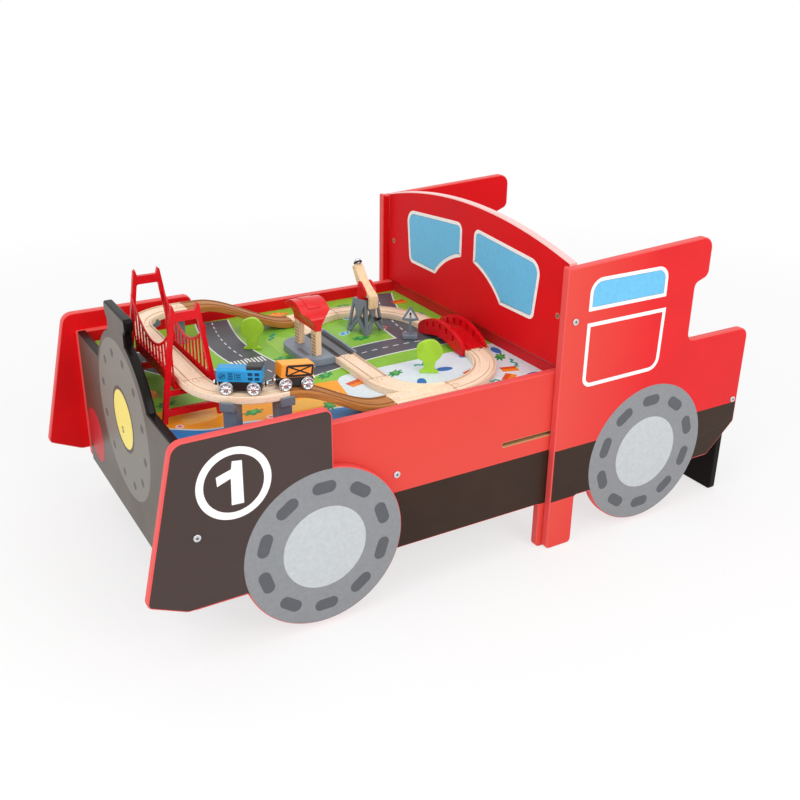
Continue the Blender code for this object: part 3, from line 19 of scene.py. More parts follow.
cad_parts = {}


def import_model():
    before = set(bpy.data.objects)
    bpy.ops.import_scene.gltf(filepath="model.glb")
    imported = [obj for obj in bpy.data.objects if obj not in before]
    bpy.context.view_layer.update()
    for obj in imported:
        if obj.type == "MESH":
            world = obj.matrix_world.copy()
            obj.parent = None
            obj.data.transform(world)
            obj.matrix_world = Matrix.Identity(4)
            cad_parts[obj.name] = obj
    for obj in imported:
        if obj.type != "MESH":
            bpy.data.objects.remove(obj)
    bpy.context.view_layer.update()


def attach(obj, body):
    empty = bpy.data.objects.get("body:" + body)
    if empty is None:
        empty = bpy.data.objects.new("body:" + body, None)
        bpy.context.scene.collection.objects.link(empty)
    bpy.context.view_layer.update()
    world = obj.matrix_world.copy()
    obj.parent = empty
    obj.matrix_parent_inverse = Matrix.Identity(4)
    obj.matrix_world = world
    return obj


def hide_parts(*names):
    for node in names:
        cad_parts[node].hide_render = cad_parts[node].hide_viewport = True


LOG = logging.getLogger("train_table")
PI = math.pi
FILM = 0.00008
"""How far a printed ink film stands over its board."""
SIDES = {"near": -1, "far": 1}
"""The table's two sides, each with the direction of its outer faces along Y."""

Array = np.ndarray
Corner = tuple[float, float, float]
Colour = tuple[float, float, float, float]
Socket = bpy.types.NodeSocket


# ---------------------------------------------------------------- colours and nodes

def linear(code: str, factor: float = 1.0) -> Colour:
    """Turns an sRGB colour into linear light.

    Args:
        code: six hex digits after a hash.
        factor: how much lighter or darker the colour becomes, in linear light.

    Returns:
        Red, green, blue and an opacity of one.
    """
    parts = np.array([int(code[i:i + 2], 16) for i in (1, 3, 5)]) / 255.0
    light = np.where(parts <= 0.04045, parts / 12.92, ((parts + 0.055) / 1.055) ** 2.4)
    red, green, blue = (min(1.0, float(value) * factor) for value in light)
    return (red, green, blue, 1.0)


class Kind(Enum):
    """What a node is."""

    PLACE = "ShaderNodeTexCoord"
    MAPPING = "ShaderNodeMapping"
    NOISE = "ShaderNodeTexNoise"
    RANGE = "ShaderNodeMapRange"
    MIX = "ShaderNodeMix"
    SUM = "ShaderNodeMath"
    PARTS = "ShaderNodeSeparateXYZ"
    VECTOR_SUM = "ShaderNodeVectorMath"
    BUMP = "ShaderNodeBump"
    RAYS = "ShaderNodeLightPath"
    GLOW = "ShaderNodeEmission"
    TWO_SURFACES = "ShaderNodeMixShader"


COLOURS = {"output": 2, "data_type": "RGBA"}
"""What a MIX of two colours needs; its inputs are 0 for the share of the second, 6 and 7 for the two colours."""


@dataclass
class Recipe:
    """A node tree in the making."""

    tree: bpy.types.NodeTree

    def add(self, kind: Kind, inputs: Mapping[str | int, object] | Sequence[object] = (), output: str | int = 0,
            **settings: object) -> Socket:
        """Adds a node with its settings, values and links.

        Args:
            kind: what the node is.
            inputs: values, or output sockets to link from, by the input socket's name or number or in their order.
            output: name or number of the output that is wanted.
            settings: attributes of the node.

        Returns:
            The new node's output socket.
        """
        node = self.tree.nodes.new(kind.value)
        for name, value in settings.items():
            setattr(node, name, value)
        self.fill(node, inputs)
        return node.outputs[output]

    def fill(self, node: bpy.types.Node, inputs: Mapping[str | int, object] | Sequence[object]) -> None:
        """Gives input sockets of a node their values, or their links from other nodes.

        Args:
            node: the node.
            inputs: values, or output sockets to link from, by the input socket's name or number or in their order.
        """
        for name, value in (inputs.items() if isinstance(inputs, Mapping) else enumerate(inputs)):
            if isinstance(value, bpy.types.NodeSocket):
                self.tree.links.new(value, node.inputs[name])
            else:
                node.inputs[name].default_value = value

    def toned(self, pattern: Socket, low: float, high: float, code: str, factors: tuple[float, float]) -> Socket:
        """A colour that a pattern takes from one tone to another as it grows from low to high.

        Args:
            pattern: the pattern's value.
            low: the value that gives the first tone.
            high: the value that gives the second.
            code: the colour between them.
            factors: both tones, as factors in linear light.

        Returns:
            The colour's socket.
        """
        share = self.add(Kind.RANGE, (pattern, low, high))
        return self.add(Kind.MIX, {0: share, 6: linear(code, factors[0]), 7: linear(code, factors[1])}, **COLOURS)

    def looked_at(self) -> Socket:
        """One where the camera or a reflection looks, straight or through glass, and nought for all other light."""
        rays = self.add(Kind.RAYS).node.outputs
        seen = self.add(Kind.SUM, (rays["Is Camera Ray"], rays["Is Glossy Ray"]), operation="MAXIMUM")
        return self.add(Kind.SUM, (seen, rays["Is Transmission Ray"]), operation="MAXIMUM")


# ---------------------------------------------------------------- finishes

class Finish:
    """Something that a surface is finished with; each finish makes its material once."""

    made: dict[str, bpy.types.Material] = {}
    name: str

    def material(self) -> bpy.types.Material:
        """The material of this finish, made on first use."""
        if self.name not in Finish.made:
            material = bpy.data.materials.new(self.name)
            material.use_nodes = True
            recipe = Recipe(material.node_tree)
            recipe.fill(material.node_tree.nodes["Principled BSDF"], self.brew(recipe))
            Finish.made[self.name] = material
        return Finish.made[self.name]

    def brew(self, recipe: Recipe) -> dict[str, object]:
        """Adds the patterns to the recipe and says what each input of the surface shader gets."""
        raise NotImplementedError


@dataclass(frozen=True)
class Lacquer(Finish):
    """Acrylic lacquer sprayed on fibreboard.

    It gives an even satin colour, faintly cloudy where the coat is thicker, with an orange peel of a few
    millimetres under a soft gloss. A band of heights can carry a second colour, sprayed over a mask. The colour
    can also fade to another one along an axis; that fade is painted light and shade, not a change of paint: a
    lighter, warmer tone stands for light low on the side panels and at the cab's front, and a dark tone stands
    for shade at the foot of the windshield's crest.
    """

    name: str
    colour: str
    roughness: float = 0.38
    specular: float = 0.14
    coat: float = 0.0
    band: tuple[float, float] | None = None
    band_colour: str = "#38281f"
    # Painted light and shade: a second colour that the lacquer fades to along an axis, standing for light or shade that
    # falls there.
    painted_light_shade_colour: str | None = None
    painted_light_shade_span: tuple[float, float] = (0.2, 0.5)
    painted_light_shade_axis: int = 2
    cloud_mm: float = 90.0
    peel_mm: float = 2.2

    def brew(self, recipe: Recipe) -> dict[str, object]:
        """Two tones by a slow cloud, a masked band, and the orange peel as bump."""
        place = recipe.add(Kind.PLACE, output="Object")
        cloud = recipe.add(Kind.NOISE, {"Vector": place, "Scale": 1000.0 / self.cloud_mm, "Detail": 3.0})
        colour = recipe.toned(cloud, 0.35, 0.65, self.colour, (0.955, 1.03))
        # Painted light and shade: along one axis the colour fades to a second tone that stands for light or shade, not
        # for a change of paint.
        if self.painted_light_shade_colour is not None:
            along = recipe.add(Kind.PARTS, (place,), self.painted_light_shade_axis)
            painted_share = recipe.add(Kind.RANGE, (along, self.painted_light_shade_span[1], self.painted_light_shade_span[0]))
            colour = recipe.add(Kind.MIX, {0: painted_share, 6: colour, 7: linear(self.painted_light_shade_colour)}, **COLOURS)
        if self.band is not None:
            low, high = self.band
            height = recipe.add(Kind.PARTS, (place,), 2)
            within = recipe.add(Kind.SUM, (height, (low + high) / 2, (high - low) / 2), operation="COMPARE")
            masked = recipe.toned(cloud, 0.35, 0.65, self.band_colour, (0.9, 1.1))
            colour = recipe.add(Kind.MIX, {0: within, 6: colour, 7: masked}, **COLOURS)
        peel = recipe.add(Kind.NOISE, {"Vector": place, "Scale": 1000.0 / self.peel_mm, "Detail": 1.0})
        return {"Base Color": colour,
                "Roughness": recipe.add(Kind.RANGE, (cloud, 0.3, 0.7, self.roughness - 0.03, self.roughness + 0.04)),
                "Normal": recipe.add(Kind.BUMP, {"Height": peel, "Strength": 0.06, "Distance": 0.0004}),
                "Specular IOR Level": self.specular, "Coat Weight": self.coat, "Coat Roughness": 0.22}


@dataclass(frozen=True)
class ScreenInk(Finish):
    """Screen-printed ink: a flat colour whose film varies by a few percent, a touch duller than the lacquer."""

    name: str
    colour: str
    roughness: float = 0.42
    specular: float = 0.25
    speckle_mm: float = 6.0

    def brew(self, recipe: Recipe) -> dict[str, object]:
        """Two near tones by a fine noise, and a faint bump from the mesh of the screen."""
        place = recipe.add(Kind.PLACE, output="Object")
        depth = recipe.add(Kind.NOISE, {"Vector": place, "Scale": 1000.0 / self.speckle_mm, "Detail": 4.0})
        return {"Base Color": recipe.toned(depth, 0.3, 0.7, self.colour, (0.94, 1.05)),
                "Roughness": recipe.add(Kind.RANGE, (depth, 0.3, 0.7, self.roughness - 0.04, self.roughness + 0.05)),
                "Normal": recipe.add(Kind.BUMP, {"Height": depth, "Strength": 0.04, "Distance": 0.0002}),
                "Specular IOR Level": self.specular}


@dataclass(frozen=True)
class Beech(Finish):
    """Beech, sawn, milled and sanded, bare or stained.

    It gives long soft grain lines along the piece and short dark ray flecks. The grain is drawn 1.5 mm apart,
    wider than real beech, so that it shows at the distance of the picture. On grooved track the walls of both
    grooves are darkened as painted shade, which makes the rails readable from afar.
    """

    name: str
    light: str
    dark: str
    grain_mm: float = 1.5
    streak_mm: float = 60.0
    on_uv: bool = True
    turn: float = 0.0
    upright: bool = False
    roughness: float = 0.5
    grooved: bool = False
    groove_middle: float = 0.0132
    wall_off: float = 0.0042
    wall_half: float = 0.0010

    def brew(self, recipe: Recipe) -> dict[str, object]:
        """Grain as noise stretched along the piece, with flecks as a second, shorter noise."""
        source = recipe.add(Kind.PLACE, output="UV" if self.on_uv else "Object")
        along, across = 1000.0 / self.streak_mm, 1000.0 / self.grain_mm
        lean = (0.0, PI / 2 if self.upright else 0.0, self.turn)
        facing = recipe.add(Kind.MAPPING, {"Vector": source, "Rotation": lean})
        long = recipe.add(Kind.MAPPING, {"Vector": facing, "Scale": (along, across, across)})
        short = recipe.add(Kind.MAPPING, {"Vector": facing, "Scale": (along * 9.0, across * 0.8, across)})
        grain = recipe.add(Kind.NOISE, {"Vector": long, "Scale": 1.0, "Detail": 3.0, "Distortion": 0.4})
        fleck = recipe.add(Kind.NOISE, {"Vector": short, "Scale": 1.0, "Detail": 1.0})
        slow = recipe.add(Kind.NOISE, {"Vector": source, "Scale": 22.0, "Detail": 2.0})
        colour = linear(self.light)
        for pattern, low, high, most, tone in ((grain, 0.36, 0.66, 1.0, linear(self.dark)),
                                               (slow, 0.35, 0.65, 0.35, linear(self.light)),
                                               (fleck, 0.62, 0.72, 0.5, linear(self.dark, 0.7))):
            share = recipe.add(Kind.RANGE, (pattern, low, high, 0.0, most))
            colour = recipe.add(Kind.MIX, {0: share, 6: colour, 7: tone}, **COLOURS)
        # Painted shade: the walls of both grooves are darkened, standing for the shade in them.
        if self.grooved:
            groove_wall_shade = self.groove_wall_shade(recipe, source)
            colour = recipe.add(Kind.MIX, {0: groove_wall_shade, 6: colour, 7: linear(self.dark, 0.62)}, **COLOURS)
        return {"Base Color": colour, "Roughness": self.roughness,
                "Normal": recipe.add(Kind.BUMP, {"Height": grain, "Strength": 0.12, "Distance": 0.0003})}

    def groove_wall_shade(self, recipe: Recipe, chart: Socket) -> Socket:
        """Share of painted shade: three quarters on the two walls of each groove, none elsewhere."""
        across = recipe.add(Kind.PARTS, (chart,), 1)
        off = recipe.add(Kind.SUM, (across,), operation="ABSOLUTE")
        apart = recipe.add(Kind.SUM, (off, self.groove_middle), operation="SUBTRACT")
        apart = recipe.add(Kind.SUM, (apart,), operation="ABSOLUTE")
        wall = recipe.add(Kind.SUM, (apart, self.wall_off, self.wall_half), operation="COMPARE")
        return recipe.add(Kind.SUM, (wall, 0.75), operation="MULTIPLY")


@dataclass(frozen=True)
class Moulding(Finish):
    """Injection-moulded ABS: one dyed colour with the mould's fine spark-eroded texture and a soft gloss."""

    name: str
    colour: str
    roughness: float = 0.28
    texture_mm: float = 1.2
    specular: float = 0.5

    def brew(self, recipe: Recipe) -> dict[str, object]:
        """A hardly visible flow pattern in the colour, and the mould's texture as bump and roughness."""
        place = recipe.add(Kind.PLACE, output="Object")
        flow = recipe.add(Kind.NOISE, {"Vector": place, "Scale": 40.0, "Detail": 2.0, "Distortion": 1.0})
        spark = recipe.add(Kind.NOISE, {"Vector": place, "Scale": 1000.0 / self.texture_mm, "Detail": 2.0})
        return {"Base Color": recipe.toned(flow, 0.35, 0.65, self.colour, (0.93, 1.05)),
                "Roughness": recipe.add(Kind.RANGE, (spark, 0.3, 0.7, self.roughness - 0.04, self.roughness + 0.05)),
                "Normal": recipe.add(Kind.BUMP, {"Height": spark, "Strength": 0.08, "Distance": 0.0002}),
                "Specular IOR Level": self.specular}


@dataclass(frozen=True)
class BrightMetal(Finish):
    """Zinc or chromium plate: bright, with fine random scratches that blur the gloss a little."""

    name: str
    colour: str
    roughness: float = 0.25
    scratch_mm: float = 0.8

    def brew(self, recipe: Recipe) -> dict[str, object]:
        """A metal whose roughness and tone follow a fine scratch noise."""
        place = recipe.add(Kind.PLACE, output="Object")
        long = recipe.add(Kind.MAPPING, {"Vector": place, "Scale": (1.0, 1.0, 0.2)})
        scratch = recipe.add(Kind.NOISE, {"Vector": long, "Scale": 1000.0 / self.scratch_mm, "Detail": 3.0})
        rough = recipe.add(Kind.RANGE, (scratch, 0.3, 0.7, self.roughness - 0.06, self.roughness + 0.08))
        return {"Base Color": recipe.toned(scratch, 0.3, 0.7, self.colour, (0.88, 1.0)), "Roughness": rough,
                "Metallic": 1.0}


@dataclass(frozen=True)
class RawBoard(Finish):
    """Bare medium-density fibreboard, sawn: a felted tan surface with darker fibres of a millimetre or so."""

    name: str
    colour: str

    def brew(self, recipe: Recipe) -> dict[str, object]:
        """Felted fibres as two noises in tone and bump."""
        place = recipe.add(Kind.PLACE, output="Object")
        felt = recipe.add(Kind.NOISE, {"Vector": place, "Scale": 600.0, "Detail": 4.0})
        patch = recipe.add(Kind.NOISE, {"Vector": place, "Scale": 30.0, "Detail": 2.0})
        tone = recipe.toned(felt, 0.3, 0.7, self.colour, (0.72, 1.0))
        share = recipe.add(Kind.RANGE, (patch, 0.3, 0.7, 0.0, 0.3))
        return {"Base Color": recipe.add(Kind.MIX, {0: share, 6: tone, 7: linear(self.colour, 1.15)}, **COLOURS),
                "Normal": recipe.add(Kind.BUMP, {"Height": felt, "Strength": 0.25, "Distance": 0.0004}),
                "Roughness": 0.85}


@dataclass(frozen=True)
class Paper(Finish):
    """Seamless studio paper: white, evenly matt, bright to the camera and to reflections, with a soft shadow."""

    name: str
    colour: str
    lift: float = 0.70
    clear_from: float = 0.9
    clear_at: float = 2.4

    def brew(self, recipe: Recipe) -> dict[str, object]:
        """Diffuse paper, mixed with plain white where it is looked at, the more the farther off the table."""
        place = recipe.add(Kind.PLACE, output="Object")
        far = recipe.add(Kind.VECTOR_SUM, (place,), "Value", operation="LENGTH")
        level = recipe.add(Kind.RANGE, (far, self.clear_from, self.clear_at, self.lift, 1.0))
        share = recipe.add(Kind.SUM, (recipe.looked_at(), level), operation="MULTIPLY")
        glow = recipe.add(Kind.GLOW, {"Color": (1.0, 1.0, 1.0, 1.0), "Strength": 1.0})
        nodes = recipe.tree.nodes
        both = recipe.add(Kind.TWO_SURFACES, (share, nodes["Principled BSDF"].outputs[0], glow))
        recipe.fill(nodes["Material Output"], {"Surface": both})
        fibre = recipe.add(Kind.NOISE, {"Vector": place, "Scale": 60.0, "Detail": 3.0})
        return {"Base Color": recipe.toned(fibre, 0.3, 0.7, self.colour, (0.985, 1.0)), "Roughness": 0.9,
                "Specular IOR Level": 0.1}


# Painted light: the side panels and the cab share one red lacquer, but the side panels' base is lighter and more
# orange, and both fade to a lighter, warmer red low down on the side panels and towards the cab's front, standing for
# light that falls there.
PAINTED_LIGHT_RED = "#e14c42"
SIDE_BAND = (0.0902, 0.1965)
CAB_BAND = (0.0968, 0.198)

RED_FACE = Lacquer("red_satin_lacquer", "#e0151b", specular=0.08)
RED_SIDE = Lacquer("red_lacquer_over_black_band_with_painted_light", "#dc3f39", band=SIDE_BAND, painted_light_shade_colour=PAINTED_LIGHT_RED)
RED_CAB = Lacquer("red_cab_lacquer_over_black_band_with_painted_light", "#e1262a", band=CAB_BAND, painted_light_shade_colour=PAINTED_LIGHT_RED,
                  painted_light_shade_span=(0.15, 0.34), painted_light_shade_axis=0)
RED_SHIELD = Lacquer("red_windshield_lacquer", "#dc161d", roughness=0.45, specular=0.08)
# Painted highlight and shade on the windshield's rim: a pale pink standing for the glint of light along its crowned top
# edge, turning dark red below about 0.40 m to stand for the shade at its foot.
RED_CREST_PAINTED_LIGHT_SHADE = Lacquer("red_lacquer_crest_painted_highlight_and_shade", "#f9bdb9", roughness=0.22, specular=0.5, coat=0.5,
                    painted_light_shade_colour="#8e0d12", painted_light_shade_span=(0.40, 0.50))
# Painted highlight: the board edges are a lighter red than the faces, standing for light caught on the rounded edges.
RED_EDGE_PAINTED_HIGHLIGHT = Lacquer("red_lacquer_edge_painted_highlight", "#e8524f", roughness=0.45, specular=0.35)
# Painted shade: a darker copy of the red lacquer for the rear wall's face inside the box, standing for the shade there.
RED_PAINTED_SHADE_IN_BOX = Lacquer("red_lacquer_painted_shade_in_the_box", "#c81d24", roughness=0.4)
BLACK_FACE = Lacquer("black_satin_lacquer", "#4a3d3a", roughness=0.42)
# Painted reflection: the nose's black gloss lacquer is given a warm grey base that stands for the reflection of the
# surroundings on its face; its rim keeps a near-black colour.
BLACK_NOSE_PAINTED_REFLECTION = Lacquer("black_gloss_nose_lacquer_painted_reflection", "#50453a", roughness=0.35, specular=0.20)
BLACK_GLOSS = Lacquer("black_gloss_lacquer", "#120e0d", roughness=0.25, specular=0.10)
BLACK_DEEP = Lacquer("black_lacquer_of_the_back", "#140f0d", roughness=0.45, specular=0.08)
RAW_EDGE = RawBoard("bare_fibreboard", "#c69a6a")
WHITE_INK = ScreenInk("white_screen_ink", "#fbf6f5")
BLUE_INK = ScreenInk("sky_blue_screen_ink", "#6dc0ea")
TYRE_INK = ScreenInk("tyre_grey_screen_ink", "#8c8e91")
MARK_INK = ScreenInk("dark_grey_screen_ink", "#5b5d62")
HUB_INK = ScreenInk("light_grey_screen_ink", "#c2c7c9")
DISC_INK = ScreenInk("smokebox_grey_screen_ink", "#7a756c", specular=0.35)
RIVET_INK = ScreenInk("smokebox_rivet_screen_ink", "#4b4742")
LAMP_INK = ScreenInk("lamp_yellow_screen_ink", "#f8e372")
RIM_INK = ScreenInk("dark_brown_screen_ink", "#4a3a33")
# Partly painted shade: the buffers' printed red is deep, and darkened further to stand for the shade that falls on the
# far buffer.
BUFFER_INK_PAINTED_SHADE = ScreenInk("red_screen_ink_darkened_for_shade", "#bf2a2f")
LIGHT_TRACK = Beech("sanded_beech_track", "#ffe8d0", "#f0cca5", grooved=True)
DARK_TRACK = Beech("stained_beech_track", "#c8823a", "#94581c", grain_mm=1.8, grooved=True)
TURNOUT_BEECH = Beech("sanded_beech_turnout", "#ffe8d0", "#f0cca5", on_uv=False)
POST_BEECH = Beech("sanded_beech_post", "#f5dcba", "#dfb583", on_uv=False, upright=True)
BOOM_BEECH = Beech("sanded_beech_boom", "#f6dcb6", "#dcb17a", on_uv=False, turn=PI / 2)
JOINT_BROWN = ScreenInk("dark_gap_in_beech", "#9a7048")
RED_ABS = Moulding("red_moulded_abs", "#d80e19", roughness=0.26, specular=0.2)
ROOF_ABS = Moulding("red_roof_moulded_abs", "#e0141a", roughness=0.22, specular=0.35)
SLATE_ABS = Moulding("slate_grey_moulded_abs", "#6d7783", roughness=0.38)
CRANE_ABS = Moulding("crane_grey_moulded_abs", "#7f8894", roughness=0.34)
STONE_ABS = Moulding("stone_grey_moulded_abs", "#828d9b", roughness=0.42)
BED_ABS = Moulding("dark_grey_moulded_abs", "#62646a", roughness=0.45)
LEAF_ABS = Moulding("leaf_green_moulded_abs", "#a2d233", roughness=0.4)
BLACK_ABS = Moulding("black_moulded_abs", "#131315", roughness=0.35)
BLUE_ABS = Moulding("blue_lacquered_block", "#0e93cf", roughness=0.3)
ORANGE_ABS = Moulding("orange_lacquered_block", "#f39222", roughness=0.32)
NAVY_INK = ScreenInk("dark_blue_pad_print", "#0f3f63")
JET_INK = ScreenInk("black_pad_print", "#26211f")
STAIN_INK = ScreenInk("amber_stain_on_beech", "#f6b04a", speckle_mm=3.0)
RUST_INK = ScreenInk("rust_brown_pad_print", "#9c6a34")
PANEL_INK = ScreenInk("pale_sign_pad_print", "#ded3d6")
HUB_RED = Moulding("hub_pin_reddish_abs", "#c98f8c", roughness=0.4)
NUT_GREY = ScreenInk("barrel_nut_grey", "#6b5f55")
ZINC = BrightMetal("bright_zinc_plate", "#d9dadd")
SILVER = BrightMetal("silver_plated_wheel", "#d3d5d9", roughness=0.3)


# ---------------------------------------------------------------- outlines in a plane

def arc(cu: float, cv: float, radius: float, start: float, end: float, step: float = math.radians(3.0)) -> Array:
    """Points of a circle arc: the centre plus the radius times cosine and sine of an even run of angles.

    Args:
        cu: centre, first coordinate.
        cv: centre, second coordinate.
        radius: the arc's radius.
        start: first angle in radians.
        end: last angle.
        step: largest step between points.

    Returns:
        Points as rows.
    """
    count = max(2, math.ceil(abs(end - start) / step))
    angles = np.linspace(start, end, count + 1)
    return np.column_stack((cu + radius * np.cos(angles), cv + radius * np.sin(angles)))


def rounded(corners: Sequence[Corner], step: float = math.radians(9.0)) -> Array:
    """Outline from corners (u, v, radius): each corner becomes the arc that touches both of its sides.

    Args:
        corners: the corners in order, with a radius each, zero for a sharp one.
        step: largest angle between two points of an arc.

    Returns:
        Points as rows.
    """
    places = np.array([c[:2] for c in corners], dtype=float)
    parts = []
    for i, (_, _, radius) in enumerate(corners):
        here = places[i]
        if radius <= 0:
            parts.append(here[None, :])
            continue
        before = places[i - 1] - here
        after = places[(i + 1) % len(corners)] - here
        before = before / np.linalg.norm(before)
        after = after / np.linalg.norm(after)
        half = math.acos(float(np.clip(before @ after, -1, 1))) / 2
        middle = before + after
        centre = here + middle / np.linalg.norm(middle) * (radius / math.sin(half))
        reach = radius / math.tan(half)
        first = here + before * reach - centre
        last = here + after * reach - centre
        a0 = math.atan2(first[1], first[0])
        turn = (math.atan2(last[1], last[0]) - a0 + PI) % (2 * PI) - PI
        parts.append(arc(centre[0], centre[1], radius, a0, a0 + turn, step))
    return np.vstack(parts)


def tidy(outline: Array, clockwise: bool = False) -> Array:
    """The outline without repeated points, turned the wanted way round.

    Args:
        outline: points as rows.
        clockwise: the wanted direction.

    Returns:
        Points as rows.
    """
    points = np.asarray(outline, dtype=float)
    gaps = np.linalg.norm(points - np.roll(points, 1, axis=0), axis=1)
    points = points[gaps > 1e-6]
    ahead = np.roll(points, -1, axis=0)
    area = float(np.sum(points[:, 0] * ahead[:, 1] - ahead[:, 0] * points[:, 1]))
    return points[::-1].copy() if (area < 0) != clockwise else points


def shrunk(outline: Array, distance: float) -> Array:
    """The outline moved to its left by a distance, with mitred corners.

    Each point moves along the sum of the normals of its two sides, divided by one plus their cosine.
    """
    back = outline - np.roll(outline, 1, axis=0)
    ahead = np.roll(outline, -1, axis=0) - outline
    back = back / np.linalg.norm(back, axis=1, keepdims=True)
    ahead = ahead / np.linalg.norm(ahead, axis=1, keepdims=True)
    normal = np.column_stack((-back[:, 1] - ahead[:, 1], back[:, 0] + ahead[:, 0]))
    scale = np.maximum(1.0 + np.sum(back * ahead, axis=1, keepdims=True), 0.25)
    return outline + normal * distance / scale


def circle(cu: float, cv: float, radius: float, count: int = 72) -> Array:
    """A full circle as an outline."""
    angles = np.arange(count) * (2 * PI / count)
    return np.column_stack((cu + radius * np.cos(angles), cv + radius * np.sin(angles)))


def rectangle(low_u: float, low_v: float, high_u: float, high_v: float, radius: float = 0.0) -> Array:
    """A rectangle, with rounded corners if a radius is given."""
    return rounded([(low_u, low_v, radius), (high_u, low_v, radius), (high_u, high_v, radius),
                    (low_u, high_v, radius)])


def stroke(path: Array, width: float) -> Array:
    """The outline of a line of even width along a path: the path moved half the width to either side.

    Args:
        path: points as rows.
        width: the line's width.

    Returns:
        Points as rows, one side out and the other back.
    """
    points = np.asarray(path, dtype=float)
    slope = np.gradient(points, axis=0)
    slope = slope / np.linalg.norm(slope, axis=1, keepdims=True)
    side = np.column_stack((-slope[:, 1], slope[:, 0])) * width / 2
    return np.vstack((points + side, (points - side)[::-1]))


# ---------------------------------------------------------------- solids as arrays

class Plane(Enum):
    """The plane that an outline lies in; the solid goes along the third axis."""

    XY = "XY"
    XZ = "XZ"
    YZ = "YZ"

    def points(self, flat: Array, depth: Array | float) -> Array:
        """Points in space from points in the plane and their depth along the third axis."""
        w = np.broadcast_to(depth, (len(flat),))
        u, v = flat[:, 0], flat[:, 1]
        order = {Plane.XY: (u, v, w), Plane.XZ: (u, w, v), Plane.YZ: (w, u, v)}[self]
        return np.column_stack(order)


@dataclass
class Solid:
    """Points and faces of a closed shape, with the finish number of each face and an optional map of each point."""

    points: Array
    faces: list[list[int]]
    slots: list[int]
    chart: Array | None = None

    def joined(self, other: "Solid") -> "Solid":
        """Both shapes as one mesh."""
        first = len(self.points)
        shifted = [[i + first for i in face] for face in other.faces]
        chart = None
        if self.chart is not None and other.chart is not None:
            chart = np.vstack((self.chart, other.chart))
        return Solid(np.vstack((self.points, other.points)), self.faces + shifted, self.slots + other.slots, chart)

    def moved(self, matrix: Matrix) -> "Solid":
        """The shape under a placement matrix."""
        turn = np.array(matrix)
        return Solid(self.points @ turn[:3, :3].T + turn[:3, 3], self.faces, self.slots, self.chart)

    def slotted(self, number: int) -> "Solid":
        """The shape with one finish number on all its faces."""
        return Solid(self.points, self.faces, [number] * len(self.faces), self.chart)


def all_of(solids: Sequence[Solid]) -> Solid:
    """Several shapes as one."""
    whole = solids[0]
    for other in solids[1:]:
        whole = whole.joined(other)
    return whole


def lattice(rows: int, columns: int, wrap_rows: bool = False) -> Array:
    """Faces of a grid of points whose rows are closed loops, four corners each, worked out for the whole grid at once.

    Args:
        rows: rows of points.
        columns: points in a row.
        wrap_rows: whether the last row joins the first.

    Returns:
        Corner numbers, a row a face.
    """
    i = np.arange(rows if wrap_rows else rows - 1)[:, None]
    i, j = np.broadcast_arrays(i, np.arange(columns)[None, :])
    below = (i + 1) % rows
    right = (j + 1) % columns
    corners = (i * columns + j, i * columns + right, below * columns + right, below * columns + j)
    return np.stack(corners, axis=-1).reshape(-1, 4)


def plate(outline: Array, low: float, high: float, plane: Plane, holes: Sequence[Array] = (), ease: float = 0.0,
          steps: int = 4) -> Solid:
    """A board: an outline carried from one depth to another, with quarter-round edges.

    The rim is a surface of two parameters, the place along the outline and the place along a profile that starts
    on one face, rounds the edge by a quarter circle, runs across and rounds the other edge.

    Args:
        outline: the board's outline.
        low: depth of one face.
        high: depth of the other.
        plane: the plane of the outline.
        holes: outlines of holes.
        ease: radius of the rounded edges.
        steps: facets of each quarter circle.

    Returns:
        A closed shape whose faces have finish 0 on the low face, 1 on the rim and 2 on the high face.
    """
    loops = [tidy(outline)] + [tidy(h, clockwise=True) for h in holes]
    if ease > 0:
        angles = np.linspace(0, PI / 2, steps + 1)
        inwards = ease * (1 - np.sin(angles))
        sunk = ease * (1 - np.cos(angles))
        inwards = np.concatenate((inwards, inwards[::-1]))
        depths = np.concatenate((low + sunk, high - sunk[::-1]))
    else:
        inwards = np.zeros(2)
        depths = np.array([low, high])
    points: list[Array] = []
    faces: list[list[int]] = []
    slots: list[int] = []
    caps: list[list[Vector]] = []
    firsts: list[int] = []
    lasts: list[int] = []
    start = 0
    for loop in loops:
        rings = [plane.points(shrunk(loop, d) if d > 0 else loop, w) for d, w in zip(inwards, depths)]
        quads = lattice(len(rings), len(loop)) + start
        points.extend(rings)
        faces.extend(quads.tolist())
        slots.extend([1 if start == 0 else 3] * len(quads))
        rim = shrunk(loop, inwards[0]) if inwards[0] > 0 else loop
        caps.append([Vector((u, v, 0.0)) for u, v in rim])
        firsts.extend(range(start, start + len(loop)))
        lasts.extend(range(start + (len(rings) - 1) * len(loop), start + len(rings) * len(loop)))
        start += len(rings) * len(loop)
    triangles = geometry.tessellate_polygon(caps)
    for number, numbering in ((0, firsts), (2, lasts)):
        faces.extend([[numbering[i] for i in t] for t in triangles])
        slots.extend([number] * len(triangles))
    return Solid(np.vstack(points), faces, slots)


